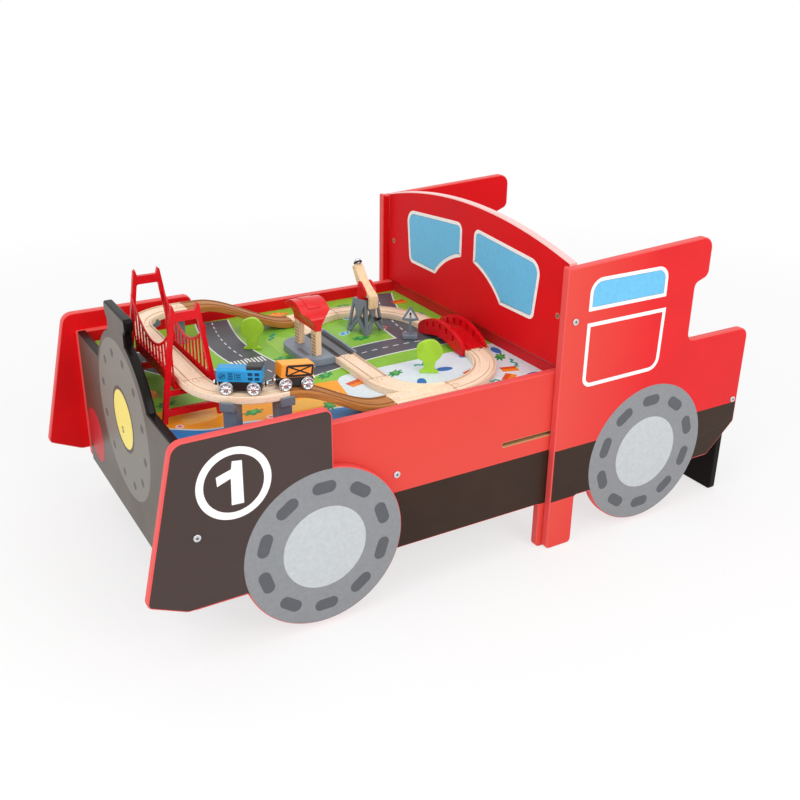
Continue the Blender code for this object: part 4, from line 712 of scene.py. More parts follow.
def swept(path: Array, headings: Array, section: Array) -> Solid:
    """A section carried along a path that turns about the vertical.

    Point (i, k) is the path's point i, plus section k's first coordinate along the level normal of the heading,
    plus its second coordinate upwards. The map's first coordinate is the length along the path, its second the
    place across the section, pushed outwards by 0.7 of the depth, so that walls have a width on it.

    Args:
        path: the path's points.
        headings: direction of travel at each point, radians.
        section: points across and up.

    Returns:
        A closed shape.
    """
    count, ring = len(path), len(section)
    left = np.column_stack((-np.sin(headings), np.cos(headings), np.zeros(count)))
    up = np.array([0.0, 0.0, 1.0])
    points = (path[:, None, :] + left[:, None, :] * section[None, :, 0, None]
              + up[None, None, :] * section[None, :, 1, None])
    along = np.concatenate(([0.0], np.cumsum(np.linalg.norm(np.diff(path, axis=0), axis=1))))
    around = section[:, 0] - 0.7 * section[:, 1] * np.sign(section[:, 0])
    chart = np.stack((np.broadcast_to(along[:, None], (count, ring)),
                      np.broadcast_to(around[None, :], (count, ring))), axis=-1)
    faces = lattice(count, ring).tolist() + [list(range(ring)), list(range((count - 1) * ring, count * ring))]
    return Solid(points.reshape(-1, 3), faces, [0] * len(faces), chart.reshape(-1, 2))


def turned(profile: Array, count: int = 32, ripple: Callable[[Array, Array], Array] | None = None) -> Solid:
    """A shape turned about Z: radius and height of a profile, carried round in even steps.

    Point (i, k) is at radius r(k) and angle 2 pi i / count, at the profile's height, plus a ripple of both.

    Args:
        profile: rows of radius and height; the ends lie on the axis.
        count: steps around.
        ripple: extra height from angle and radius, as whole arrays.

    Returns:
        A closed shape, its poles single points.
    """
    angles = np.arange(count) * (2 * PI / count)
    inner = profile[1:-1]
    radius = np.broadcast_to(inner[:, 0][:, None], (len(inner), count))
    turn = np.broadcast_to(angles[None, :], (len(inner), count))
    height = np.broadcast_to(inner[:, 1][:, None], (len(inner), count))
    if ripple is not None:
        height = height + ripple(turn, radius)
    body = np.stack((radius * np.cos(turn), radius * np.sin(turn), height), axis=-1).reshape(-1, 3)
    poles = np.array([[0, 0, profile[0, 1]], [0, 0, profile[-1, 1]]])
    ring = np.arange(count)
    following = (ring + 1) % count
    last = (len(inner) - 1) * count
    low_pole, high_pole = len(body), len(body) + 1
    faces = lattice(len(inner), count).tolist()
    faces += np.column_stack((following, ring, np.full(count, low_pole))).tolist()
    faces += np.column_stack((ring + last, following + last, np.full(count, high_pole))).tolist()
    return Solid(np.vstack((body, poles)), faces, [0] * len(faces))


@dataclass(frozen=True)
class Face:
    """A flat face that ink lies on: its plane, its depth and the direction, +1 or -1, that is open."""

    plane: Plane
    depth: float
    out: int

    def line(self, outer: Array, inner: Array, lift: float = FILM) -> Solid:
        """A printed line between two outlines with the same number of points.

        It is a grid of four closed loops: the outer outline under and over the surface, then the inner one over
        and under it.

        Args:
            outer: the line's outer edge.
            inner: its inner edge.
            lift: how far the line stands out.

        Returns:
            A closed ring.
        """
        under, over = self.depth - self.out * FILM, self.depth + self.out * lift
        loops = ((outer, under), (outer, over), (inner, over), (inner, under))
        faces = lattice(4, len(outer), wrap_rows=True).tolist()
        return Solid(np.vstack([self.plane.points(flat, depth) for flat, depth in loops]), faces, [0] * len(faces))

    def patch(self, outline: Array, lift: float = FILM) -> Solid:
        """A printed patch: a closed sheet that starts inside its board and stands a hair over the surface."""
        low, high = sorted((self.depth - self.out * FILM, self.depth + self.out * lift))
        return plate(outline, low, high, self.plane).slotted(0)

    def patches(self, outlines: Sequence[Array], lift: float = FILM) -> Solid:
        """Several patches as one shape."""
        return all_of([self.patch(outline, lift) for outline in outlines])


def placing(place: Sequence[float], turn: float) -> Matrix:
    """The placement at a point, turned about the vertical."""
    return Matrix.Translation(place) @ Matrix.Rotation(turn, 4, "Z")


def put(name: str, solid: Solid, finishes: Sequence[Finish] | Finish, body: str = "root",
        nodes: Sequence[str] = (), smooth: float = 38.0) -> bpy.types.Object:
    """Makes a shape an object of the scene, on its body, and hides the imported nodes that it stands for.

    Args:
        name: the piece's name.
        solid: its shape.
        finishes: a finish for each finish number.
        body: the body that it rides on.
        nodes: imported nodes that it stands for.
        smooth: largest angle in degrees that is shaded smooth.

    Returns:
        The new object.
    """
    kinds = [finishes] if isinstance(finishes, Finish) else list(finishes)
    mesh = bpy.data.meshes.new(name)
    mesh.from_pydata(solid.points.tolist(), [], solid.faces)
    slots = np.array(solid.slots, dtype=np.int32)
    slots = np.where(slots < len(kinds), slots, min(1, len(kinds) - 1))
    mesh.polygons.foreach_set("material_index", slots)
    if solid.chart is not None:
        corners = np.zeros(len(mesh.loops), dtype=np.int32)
        mesh.loops.foreach_get("vertex_index", corners)
        mesh.uv_layers.new(name="UVMap").data.foreach_set("uv", solid.chart[corners].astype(np.float32).ravel())
    shell = bmesh.new()
    shell.from_mesh(mesh)
    bmesh.ops.recalc_face_normals(shell, faces=shell.faces)
    shell.to_mesh(mesh)
    shell.free()
    mesh.polygons.foreach_set("use_smooth", np.ones(len(mesh.polygons), dtype=bool))
    mesh.set_sharp_from_angle(angle=math.radians(smooth))
    flatten_large_faces(mesh)
    for kind in kinds:
        mesh.materials.append(kind.material())
    piece = bpy.data.objects.new(name, mesh)
    bpy.context.scene.collection.objects.link(piece)
    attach(piece, body)
    if nodes:
        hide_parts(*nodes)
    LOG.info("%s: %d faces on %s", name, len(mesh.polygons), body)
    return piece


def flatten_large_faces(mesh: bpy.types.Mesh) -> None:
    """Marks the faces of the flat caps as flat: those with a long side and more than a square centimetre."""
    areas = np.zeros(len(mesh.polygons))
    mesh.polygons.foreach_get("area", areas)
    smooth = np.zeros(len(mesh.polygons), dtype=bool)
    mesh.polygons.foreach_get("use_smooth", smooth)
    mesh.polygons.foreach_set("use_smooth", smooth & (areas < 1e-4))


def copied(name: str, node: str, finish: Finish, body: str = "root", bevel: float = 0.0006,
           smooth: float = 35.0) -> bpy.types.Object:
    """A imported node's mesh, merged, with rounded edges, as a piece that stands for the node.

    Args:
        name: the piece's name.
        node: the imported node.
        finish: its finish.
        body: the body that it rides on.
        bevel: radius of the rounded edges, zero for none.
        smooth: largest angle in degrees that is shaded smooth.

    Returns:
        The new object.
    """
    mesh = bpy.data.objects[node].data.copy()
    mesh.name = name
    shell = bmesh.new()
    shell.from_mesh(mesh)
    bmesh.ops.remove_doubles(shell, verts=shell.verts, dist=1e-6)
    bmesh.ops.dissolve_limit(shell, angle_limit=math.radians(1.0), verts=shell.verts, edges=shell.edges)
    shell.to_mesh(mesh)
    shell.free()
    if mesh.has_custom_normals:
        mesh.attributes.remove(mesh.attributes["custom_normal"])
    mesh.materials.clear()
    mesh.materials.append(finish.material())
    mesh.polygons.foreach_set("material_index", np.zeros(len(mesh.polygons), dtype=np.int32))
    mesh.polygons.foreach_set("use_smooth", np.ones(len(mesh.polygons), dtype=bool))
    mesh.set_sharp_from_angle(angle=math.radians(smooth))
    piece = bpy.data.objects.new(name, mesh)
    bpy.context.scene.collection.objects.link(piece)
    if bevel > 0:
        rounding = piece.modifiers.new("rounded_edges", "BEVEL")
        rounding.width = bevel
        rounding.segments = 2
        rounding.limit_method = "ANGLE"
        rounding.angle_limit = math.radians(smooth)
        rounding.harden_normals = False
    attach(piece, body)
    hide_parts(node)
    LOG.info("%s: copy of %s on %s", name, node, body)
    return piece


# ---------------------------------------------------------------- boards

@dataclass
class TableBoards:
    """The table's boards: fenders, side panels, cab sides and the boards across."""

    front_x: float = -0.5875
    rear_x: float = 0.5875
    board: float = 0.015
    ease: float = 0.0022
    side_ease: float = 0.0016
    wall_ease: float = 0.0015
    beam_ease: float = 0.0008
    nose_ease: float = 0.003
    outer_y: float = 0.3095
    side_outer_y: float = 0.2942
    box_half: float = 0.2789
    cab_half: float = 0.2942
    wheel_radius: float = 0.1365
    wheel_z: float = 0.1444
    front_wheel_x: float = -0.3054
    rear_wheel_x: float = 0.3571
    wheel_fillet: float = 0.006
    nose_x: float = -0.5154
    side_top: float = 0.3437
    side_bottom: float = 0.0902
    cab_bottom: float = 0.0968
    fender_bottom: float = 0.102
    windshield_x: float = 0.1526
    wall_x: float = 0.157
    rear_panel_x: float = 0.567
    beam_x: float = -0.1775
    seat_x: tuple[float, float] = (0.300, 0.5667)
    seat_z: tuple[float, float] = (0.205, 0.220)
    seat_gap: float = 0.0002
    slot: tuple[float, float, float, float] = (0.0375, 0.2262, 0.1455, 0.2325)

    def wheel_bottom(self, x: float, bottom: float, rising_end: float | None = None) -> Array:
        """Lower edge around a wheel: a fillet, the wheel's circle and a fillet back, going towards +X."""
        fillet = self.wheel_fillet
        drop = self.wheel_z - (bottom - fillet)
        across = math.sqrt((self.wheel_radius + fillet) ** 2 - drop ** 2)
        angle = math.atan2(-drop, across)
        left = arc(x - across, bottom - fillet, fillet, PI / 2, -angle, math.radians(15))
        last = 2 * PI + (angle if rising_end is None else rising_end)
        rim = arc(x, self.wheel_z, self.wheel_radius, PI - angle, last, math.radians(2))
        if rising_end is not None:
            return np.vstack((left[:-1], rim))
        right = arc(x + across, bottom - fillet, fillet, PI + angle, PI / 2, math.radians(15))
        return np.vstack((left[:-1], rim[:-1], right))

    def fender_outline(self) -> Array:
        """Front board with a raked nose, a chin and the front wheel's disc."""
        top, rear, chin_z = 0.3766, -0.289, 0.129
        chin_x = self.front_x
        for _ in range(4):
            corners = rounded([(rear, top, 0.013), (self.front_x + 0.053, top, 0.022), (chin_x, chin_z, 0.010),
                               (self.front_x + 0.058, self.fender_bottom, 0.020),
                               (self.front_wheel_x, self.fender_bottom, 0)])[:-1]
            chin_x -= float(corners[:, 0].min()) - self.front_x
        rise = math.acos((rear - self.front_wheel_x) / self.wheel_radius)
        return np.vstack((corners, self.wheel_bottom(self.front_wheel_x, self.fender_bottom, rise)))

    def cab_outline(self) -> Array:
        """Cab side with its leg, the rear wheel's disc, armrest, notch and roof line."""
        front, top, leg_end = 0.1378, 0.5414, 0.1938
        start = rounded([(front, top, 0.004), (front, 0.0, 0.008), (leg_end, 0.0, 0.008),
                         (leg_end, self.cab_bottom, 0.005), (self.rear_wheel_x, self.cab_bottom, 0)])[:-1]
        end = rounded([(self.rear_wheel_x, self.cab_bottom, 0), (0.525, self.cab_bottom, 0.006),
                       (self.rear_x, 0.156, 0.006), (self.rear_x, 0.3513, 0.020), (0.430, 0.3513, 0.016),
                       (0.430, 0.459, 0.012), (0.460, 0.470, 0.014), (0.460, top, 0.022), (front, top, 0)])[1:-1]
        return np.vstack((start, self.wheel_bottom(self.rear_wheel_x, self.cab_bottom), end))

    def side_outline(self) -> Array:
        """Long side panel with a front leg behind the wheel disc and a rear leg."""
        leg, low, top, end = self.front_wheel_x - 0.032, self.side_bottom, self.side_top, 0.205
        return rounded([(self.nose_x, top, 0.003), (self.nose_x, low, 0.003), (leg, low, 0.005), (leg, 0.0, 0.008),
                        (leg + 0.064, 0.0, 0.008), (leg + 0.064, low, 0.005), (0.126, low, 0.005),
                        (0.126, 0.0, 0.008), (0.190, 0.0, 0.008), (0.190, low, 0.005), (end, low, 0.003),
                        (end, top, 0.003)])

    def nose_outline(self) -> Array:
        """Front board across: shoulders, smokebox arc and chimney."""
        axis, radius, shoulder_z, neck_half = 0.2795, 0.154, 0.348, 0.047
        right = arc(0, axis, radius, math.asin((shoulder_z - axis) / radius), math.acos(neck_half / radius))
        left = right[::-1] * (-1, 1)
        neck_z = float(right[-1, 1])
        cap = rounded([(neck_half, neck_z, 0), (neck_half, 0.444, 0.004), (0.058, 0.455, 0.004),
                       (0.058, 0.472, 0.006), (-0.058, 0.472, 0.006), (-0.058, 0.455, 0.004),
                       (-neck_half, 0.444, 0.004), (-neck_half, neck_z, 0)])[1:-1]
        half = self.box_half
        base = rounded([(-half, shoulder_z, 0.006), (-half, 0.0832, 0.003), (half, 0.0832, 0.003),
                        (half, shoulder_z, 0.006)])
        return np.vstack((right, cap, left, base))

    def windshield_outline(self) -> Array:
        """Cab front with a crowned top edge, a circle arc through its two ends and the crown."""
        side_z, crown_z, half = 0.530, 0.569, self.cab_half
        rise = crown_z - side_z
        radius = (half ** 2 + rise ** 2) / (2 * rise)
        reach = math.asin(half / radius)
        crown = arc(0, crown_z - radius, radius, PI / 2 - reach, PI / 2 + reach, math.radians(1.2))
        return np.vstack((crown, [(-half, self.side_top + 0.0003), (half, self.side_top + 0.0003)]))

    def rear_panel_outline(self) -> Array:
        """Seat back with a foot at each end."""
        half, top, low = self.cab_half, 0.275, self.cab_bottom
        foot = half - 0.085
        return rounded([(-half, top, 0.006), (-half, 0.0, 0.006), (-foot, 0.0, 0.006), (-foot, low, 0.010),
                        (foot, low, 0.010), (foot, 0.0, 0.006), (half, 0.0, 0.006), (half, top, 0.006)])

    def build(self) -> None:
        """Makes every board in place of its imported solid: those along the table, those across it, then the seat."""
        hole = rectangle(*self.slot, 0.0018)
        along = (("fender", "fender", self.fender_outline(), self.outer_y, BLACK_FACE, [], self.ease, "black_paint"),
                 ("cab", "cab_side", self.cab_outline(), self.outer_y, RED_CAB, [], self.ease, "red_paint"),
                 ("side", "side_panel", self.side_outline(), self.side_outer_y, RED_SIDE, [hole], self.side_ease,
                  "red_paint"))
        for label, side in SIDES.items():
            for name, node, outline, face, finish, holes, ease, slot in along:
                board = plate(outline, *sorted((side * (face - self.board), side * face)), Plane.XZ, holes, ease=ease)
                finishes = [finish, RED_EDGE_PAINTED_HIGHLIGHT, RED_FACE][::-side] + [RAW_EDGE] * len(holes)
                put(f"{name}_board_{label}", board, finishes, nodes=[f"{node}_{label}"])
        half = self.box_half
        across = (("nose", "nose_panel", self.nose_outline(), self.nose_x, self.nose_ease,
                   [BLACK_NOSE_PAINTED_REFLECTION, BLACK_GLOSS, BLACK_GLOSS], "black_paint"),
                  ("windshield", "windshield_panel", self.windshield_outline(), self.windshield_x, self.ease,
                   [RED_SHIELD, RED_CREST_PAINTED_LIGHT_SHADE, RED_FACE], "red_paint"),
                  ("rear_wall", "box_rear_wall", rectangle(-half, 0.110, half, self.side_top), self.wall_x,
                   self.wall_ease, [RED_PAINTED_SHADE_IN_BOX, RED_EDGE_PAINTED_HIGHLIGHT, RED_FACE], "red_paint"),
                  ("seat_back", "rear_panel", self.rear_panel_outline(), self.rear_panel_x, self.ease,
                   [BLACK_DEEP, BLACK_GLOSS, BLACK_DEEP], "black_paint"),
                  ("beam", "centre_beam", rectangle(-half, 0.205, half, 0.3097), self.beam_x, self.beam_ease,
                   RAW_EDGE, "bare_wood"))
        for name, node, outline, x, ease, finishes, slot in across:
            board = plate(outline, x, x + self.board, Plane.YZ, ease=ease)
            put(name + "_board", board, finishes, nodes=[node])
        front, rear = self.seat_x
        half = self.cab_half - self.seat_gap
        seat = plate(rectangle(front, -half, rear, half), *self.seat_z, Plane.XY, ease=self.ease)
        put("seat_plank", seat, [RED_FACE, RED_EDGE_PAINTED_HIGHLIGHT, RED_FACE], nodes=["seat_board"])


@dataclass
class BoardPrints:
    """Everything printed on the boards: wheel discs, ring and number, windows, doors, lamp and rivets."""

    boards: TableBoards
    tyre_inset: float = 0.0016
    hub_radius: float = 0.071
    mark_radius: float = 0.105
    mark_length: float = 0.0405
    mark_width: float = 0.0205
    line: float = 0.0070
    ring_place: tuple[float, float] = (-0.4475, 0.295)
    ring_radii: tuple[float, float] = (0.0575, 0.0460)
    disc_place: tuple[float, float] = (0.007, 0.279)
    disc_radius: float = 0.1385
    lamp_place: tuple[float, float] = (0.007, 0.280)
    lamp_radii: tuple[float, float] = (0.0575, 0.0510)
    pin_place: tuple[float, float] = (0.016, 0.258)
    pin_radii: tuple[float, float] = (0.006, 0.0035)
    rivet_circle: float = 0.113
    rivet_radius: float = 0.0075
    buffer_place: tuple[float, float] = (0.222, 0.160)
    buffer_radius: float = 0.052

    def marks(self, x: float, z: float) -> list[Array]:
        """Ten stadium marks around a wheel, each along the rim."""
        half = (self.mark_length - self.mark_width) / 2
        end = self.mark_width / 2
        shape = np.vstack((arc(half, 0, end, -PI / 2, PI / 2, math.radians(15)),
                           arc(-half, 0, end, PI / 2, 3 * PI / 2, math.radians(15))))
        outlines = []
        for k in range(10):
            angle = PI / 2 + k * PI / 5
            turn = angle - PI / 2
            spin = np.array([[math.cos(turn), math.sin(turn)], [-math.sin(turn), math.cos(turn)]])
            centre = (x + self.mark_radius * math.cos(angle), z + self.mark_radius * math.sin(angle))
            outlines.append(shape @ spin + centre)
        return outlines

    def wheel(self, name: str, x: float, side: int) -> None:
        """A wheel disc: grey tyre, light hub and ten dark marks."""
        z = self.boards.wheel_z
        face = Face(Plane.XZ, side * self.boards.outer_y, side)
        put(name + "_tyre_print", face.patch(circle(x, z, self.boards.wheel_radius - self.tyre_inset, 144)), TYRE_INK)
        put(name + "_hub_print", face.patch(circle(x, z, self.hub_radius, 96), 2 * FILM), HUB_INK)
        put(name + "_mark_print", face.patches(self.marks(x, z), 2 * FILM), MARK_INK)

    def framed(self, name: str, outline: Array, face: Face, glazed: bool = True) -> None:
        """A white line around an outline, with a blue pane inside it if it is glazed."""
        edge = tidy(outline)
        put(name + "_line_print", face.line(edge, shrunk(edge, self.line)), WHITE_INK)
        if glazed:
            put(name + "_pane_print", face.patch(shrunk(edge, self.line - 0.0004)), BLUE_INK)

    def cab_window(self) -> Array:
        """Outline of the printed window on a cab side."""
        return rounded([(0.187, 0.447, 0), (0.361, 0.447, 0), (0.3605, 0.5035, 0.024), (0.187, 0.5035, 0.026)],
                       math.radians(6))

    def door(self) -> Array:
        """Outline of the printed door on a cab side."""
        return rounded([(0.187, 0.426, 0), (0.187, 0.3085, 0.018), (0.362, 0.3105, 0.024), (0.3645, 0.426, 0)],
                       math.radians(6))

    def windshield_window(self, side: int) -> Array:
        """Outline of a printed windshield window, its inner lower corner cut by a quadratic curve.

        The curve's point at t is the three points of the bite weighed by (1-t)(1-t), 2t(1-t) and t t.
        """
        bite = (0.020, 0.462), (0.074, 0.447), (0.109, 0.4055)
        t = np.linspace(0, 1, 14)[:, None]
        curve = (1 - t) ** 2 * bite[0] + 2 * t * (1 - t) * np.array(bite[1]) + t ** 2 * np.array(bite[2])
        corners = [(u, v, 0.0) for u, v in curve[1:-1]]
        corners += [(*bite[2], 0.0040), (0.207, 0.4055, 0.014), (0.2205, 0.512, 0.026), (0.020, 0.528, 0.015),
                    (*bite[0], 0.0040)]
        outline = rounded(corners, math.radians(6))
        return outline if side > 0 else outline[::-1] * (-1, 1)

    def number(self, label: str, side: int) -> None:
        """A white ring with a plain one in it, on a fender."""
        x, z = self.ring_place
        face = Face(Plane.XZ, side * self.boards.outer_y, side)
        digit = np.array([(-0.0265, 0.016), (-0.0035, 0.0235), (-0.0015, 0.036), (0.0135, 0.034), (0.0135, -0.035),
                          (-0.0055, -0.034), (-0.0045, 0.009), (-0.0255, 0.001)])
        one = digit if side < 0 else digit * (-1, 1)
        outer, inner = (circle(x, z, radius, 96) for radius in self.ring_radii)
        put("ring_print_" + label, face.line(outer, inner), WHITE_INK)
        put("number_print_" + label, face.patch(one + (x, z)), WHITE_INK)

    def nose(self) -> None:
        """Smokebox disc, lamp, rivets and buffers on the front board."""
        face = Face(Plane.YZ, self.boards.nose_x, -1)
        y, z = self.disc_place
        put("smokebox_print", face.patch(circle(y, z, self.disc_radius, 144)), DISC_INK)
        rim, lamp = (circle(*self.lamp_place, radius, 96) for radius in self.lamp_radii)
        put("lamp_rim_print", face.patch(rim, 2 * FILM), RIM_INK)
        put("lamp_print", face.patch(lamp, 3 * FILM), LAMP_INK)
        outer, inner = (circle(*self.pin_place, radius, 32) for radius in self.pin_radii)
        put("lamp_pin_print", face.line(outer, inner, 4 * FILM), RIM_INK)
        rivets = [circle(y + self.rivet_circle * math.cos(a), z + self.rivet_circle * math.sin(a),
                         self.rivet_radius, 32) for a in PI / 12 + np.arange(12) * PI / 6]
        put("rivet_print", face.patches(rivets, 2 * FILM), RIVET_INK)
        for label, side in SIDES.items():
            buffer = circle(side * self.buffer_place[0], self.buffer_place[1], self.buffer_radius, 72)
            put("buffer_print_" + label, face.patch(buffer, 2 * FILM), BUFFER_INK_PAINTED_SHADE)

    def build(self) -> None:
        """Makes all the prints."""
        shield = Face(Plane.YZ, self.boards.windshield_x, -1)
        for label, side in SIDES.items():
            self.wheel("front_wheel_" + label, self.boards.front_wheel_x, side)
            self.wheel("rear_wheel_" + label, self.boards.rear_wheel_x, side)
            face = Face(Plane.XZ, side * self.boards.outer_y, side)
            self.framed("cab_window_" + label, self.cab_window(), face)
            self.framed("cab_door_" + label, self.door(), face, False)
            self.framed("windshield_" + label, self.windshield_window(side), shield)
        for label, side in SIDES.items():
            self.number(label, side)
        self.nose()


# ---------------------------------------------------------------- play board

@dataclass
class PlayMap:
    """The printed play board: a generic town map in flat inks, laid over each other in order."""

    top: float = 0.322
    thickness: float = 0.012
    low_x: float = -0.4999
    high_x: float = 0.1567
    half: float = 0.2829
    seen_half: float = 0.2788
    road: float = 0.062
    step: float = 0.00003
    layer: int = field(default=0, init=False)

    def ink(self, name: str, colour: str, outlines: Sequence[Array]) -> None:
        """One ink of the map: its patches a hair above those below, each with a height of its own.

        Args:
            name: the ink's name.
            colour: its colour.
            outlines: the patches.
        """
        self.layer += 1
        lift = self.layer * self.step
        share = 0.5 * self.step / len(outlines)
        face = Face(Plane.XY, self.top, 1)
        patches = all_of([face.patch(self.kept(o), lift + i * share) for i, o in enumerate(outlines)])
        put("map_" + name, patches, ScreenInk("map_ink_" + name, colour, roughness=0.38))

    def kept(self, outline: Array) -> Array:
        """The outline, held inside the visible part of the board."""
        low = (self.low_x + 0.0003, -self.seen_half)
        high = (self.high_x, self.seen_half)
        return np.clip(outline, low, high)

    def blob(self, x: float, y: float, rx: float, ry: float, waves: int = 5, depth: float = 0.12,
             phase: float = 0.0) -> Array:
        """A rounded patch: an ellipse whose radius swells and shrinks by a cosine of the angle."""
        angles = np.linspace(0, 2 * PI, 64, endpoint=False)
        swell = 1 + depth * np.cos(waves * angles + phase) + 0.4 * depth * np.cos((waves + 2) * angles + 2 * phase)
        return np.column_stack((x + rx * swell * np.cos(angles), y + ry * swell * np.sin(angles)))

    def placed(self, outline: Array, x: float, y: float, degrees: float = 0.0, scale: float = 1.0) -> Array:
        """A small motif, scaled, turned and moved to its place on the board."""
        turn = math.radians(degrees)
        spin = np.array([(math.cos(turn), math.sin(turn)), (-math.sin(turn), math.cos(turn))])
        return scale * outline @ spin + (x, y)

    def road_path(self) -> list[Array]:
        """Centre lines: a long road that falls from the far corner and waves on, one across, one branch."""
        t = np.linspace(0, 1, 40)
        across = np.column_stack((-0.258 - 0.022 * np.sin(PI * t), 0.279 - 0.300 * t))
        long_x = np.linspace(self.low_x, self.high_x, 70)
        rise = np.clip((-0.29 - long_x) / 0.20, 0, 1)
        bow = 0.235 * rise * rise * (3 - 2 * rise)
        long_road = np.column_stack((long_x, -0.035 + 0.026 * np.sin((long_x + 0.2) * 8.0) + bow))
        branch = np.column_stack((0.045 + 0.070 * t ** 2, 0.00 + 0.28 * t))
        return [across, long_road, branch]

    def dashes(self, path: Array, length: float = 0.012, gap: float = 0.011, width: float = 0.0022) -> list[Array]:
        """Dashes along a path: even shares of its length, each a narrow stroke."""
        along = np.concatenate(([0.0], np.cumsum(np.linalg.norm(np.diff(path, axis=0), axis=1))))
        starts = np.arange(gap, along[-1] - length, length + gap)
        pieces = []
        for s in starts:
            at = np.linspace(s, s + length, 5)
            pieces.append(stroke(np.column_stack((np.interp(at, along, path[:, 0]), np.interp(at, along, path[:, 1]))),
                                 width))
        return pieces

    def grounds(self) -> None:
        """The large fields: sand along the near rim, water in the near corner, paving, meadows."""
        low, rim = self.low_x, -0.279
        wave = np.linspace(low, -0.13, 48)
        sand = np.column_stack((wave, -0.098 + 0.016 * np.sin(wave * 23.0) - 0.06 * (wave + 0.5)))
        self.ink("sand", "#fba31f", [np.vstack((sand, [(-0.13, rim), (low, rim)]))])
        shore = np.linspace(low, -0.10, 60)
        bank = -0.150 - 0.072 * (1 - np.exp(-(shore + 0.5) * 7)) + 0.006 * np.sin(shore * 47.0)
        water = np.column_stack((shore, bank))
        self.ink("dry_sand", "#f9bd55", [self.blob(-0.43, -0.135, 0.035, 0.016, 3),
                                         self.blob(-0.27, -0.165, 0.05, 0.02)])
        self.ink("paving", "#dce8ee", [rounded([(-0.175, -0.090, 0.03), (-0.195, -0.200, 0.03), (-0.08, rim, 0.02),
                                                (self.high_x, rim, 0.001), (self.high_x, -0.086, 0.001)])])
        self.ink("foam", "#cfe6e6", [np.vstack((water + (0, 0.005), [(-0.10, rim), (low, rim)]))])
        self.ink("water", "#2a7fc4", [np.vstack((water, [(-0.105, rim), (low, rim)]))])
        ripples = [stroke(np.column_stack((x + np.linspace(0, 0.034, 14),
                                           y + 0.0015 * np.sin(np.linspace(0, 4 * PI, 14)))), 0.0014)
                   for x, y in ((-0.49, -0.20), (-0.44, -0.222), (-0.39, -0.24), (-0.33, -0.245), (-0.47, -0.245),
                                (-0.26, -0.252), (-0.18, -0.256))]
        self.ink("ripples", "#6cb6e2", ripples)
        self.ink("meadow", "#79b63f", [self.blob(-0.415, 0.225, 0.06, 0.035, 4), self.blob(-0.17, 0.205, 0.05, 0.05, 3),
                                       self.blob(-0.005, 0.115, 0.04, 0.06, 5), self.blob(-0.445, 0.01, 0.03, 0.05, 4)])
        self.ink("lawn", "#a3cf52", [self.blob(-0.185, 0.09, 0.028, 0.05, 3), self.blob(-0.07, 0.20, 0.045, 0.03, 4),
                                     self.blob(-0.40, 0.06, 0.03, 0.02, 3)])

    def streets(self) -> None:
        """Roads with pale edges, dashes down the middle and two crossings."""
        roads = self.road_path()
        self.ink("kerb", "#e9ecec", [stroke(p, self.road + 0.006) for p in roads])
        self.ink("road", "#585b62", [stroke(p, self.road) for p in roads])
        dashes = [d for p in roads for d in self.dashes(p)]
        comb = [rectangle(-0.306 + 0.0064 * k, 0.036, -0.3028 + 0.0064 * k, 0.060) for k in range(10)]
        self.ink("road_marks", "#eef0f0", dashes + comb)

    def scattered(self, name: str, colour: str, outline: Array, spots: Sequence[Corner], scale: float = 1.0,
                  turn: float = 0.0, shift: tuple[float, float] = (0.0, 0.0)) -> None:
        """One ink of the map that repeats a motif.

        Args:
            name: the ink's name.
            colour: its colour.
            outline: the motif, drawn around nought.
            spots: place in X and Y, and turn in degrees, of each copy.
            scale: size of the copies.
            turn: degrees that every copy turns further.
            shift: how far every copy moves from its spot.
        """
        self.ink(name, colour, [self.placed(outline, x + shift[0], y + shift[1], degrees + turn, scale)
                                for x, y, degrees in spots])

    def motifs(self) -> None:
        """Small motifs: bushes, flower beds, ponds, roofs, pools, gardens, hedges, sunshades and boats."""
        bushes = ((-0.462, -0.060, 20), (-0.425, 0.035, 75), (-0.372, 0.178, 40), (-0.215, 0.030, 0),
                  (-0.180, 0.245, 60), (-0.185, -0.075, 30), (-0.352, -0.155, 10), (-0.235, -0.190, 70),
                  (-0.075, -0.125, 25), (-0.045, 0.055, 0), (0.010, 0.235, 15), (-0.120, 0.215, 80),
                  (0.130, -0.150, 50), (-0.478, 0.075, 35))
        leaf = self.blob(0, 0, 0.0150, 0.0088, 7, 0.24)
        self.scattered("bushes", "#1f8a45", leaf, bushes)
        self.scattered("bush_lights", "#57b24a", leaf, bushes, 0.5, 40, (0.002, 0.002))
        petals = circle(0, 0, 0.0030, 10)
        ring = [(0.008 * math.cos(k), 0.006 * math.sin(k)) for k in range(6)]
        beds = ((-0.470, -0.020), (-0.205, 0.178), (-0.440, 0.120), (0.020, 0.085))
        flowers = [(x + u, y + v, 0) for x, y in beds for u, v in ring]
        self.scattered("flower_beds", "#e4453f", petals, flowers)
        self.scattered("blossoms", "#fbe3dc", petals, flowers, 0.4)
        ponds = ((-0.098, 0.132, 0), (-0.060, 0.092, 25), (-0.012, 0.165, -20), (0.075, -0.115, 10), (-0.150, 0.030, 0))
        pond = self.blob(0, 0, 0.0120, 0.0070, 3, 0.05)
        self.scattered("pond_rims", "#e8f4f6", pond, ponds, 1.15)
        self.scattered("ponds", "#3f9fd6", pond, ponds)
        self.scattered("lilies", "#bfe3ea", pond, ponds, 0.35, 30, (0.002, 0.0))
        homes = ((0.135, -0.085, 70), (0.088, -0.235, 40), (-0.155, -0.130, 15), (0.045, -0.185, 20),
                 (0.110, -0.205, -15), (-0.020, -0.225, 5), (0.000, 0.195, 30), (0.128, 0.205, 0),
                 (-0.395, 0.245, 10))
        self.scattered("roofs", "#f0882a", rectangle(-0.015, -0.010, 0.015, 0.010), homes)
        self.scattered("roof_shades", "#d8571f", rectangle(-0.015, 0.0, 0.015, 0.010), homes)
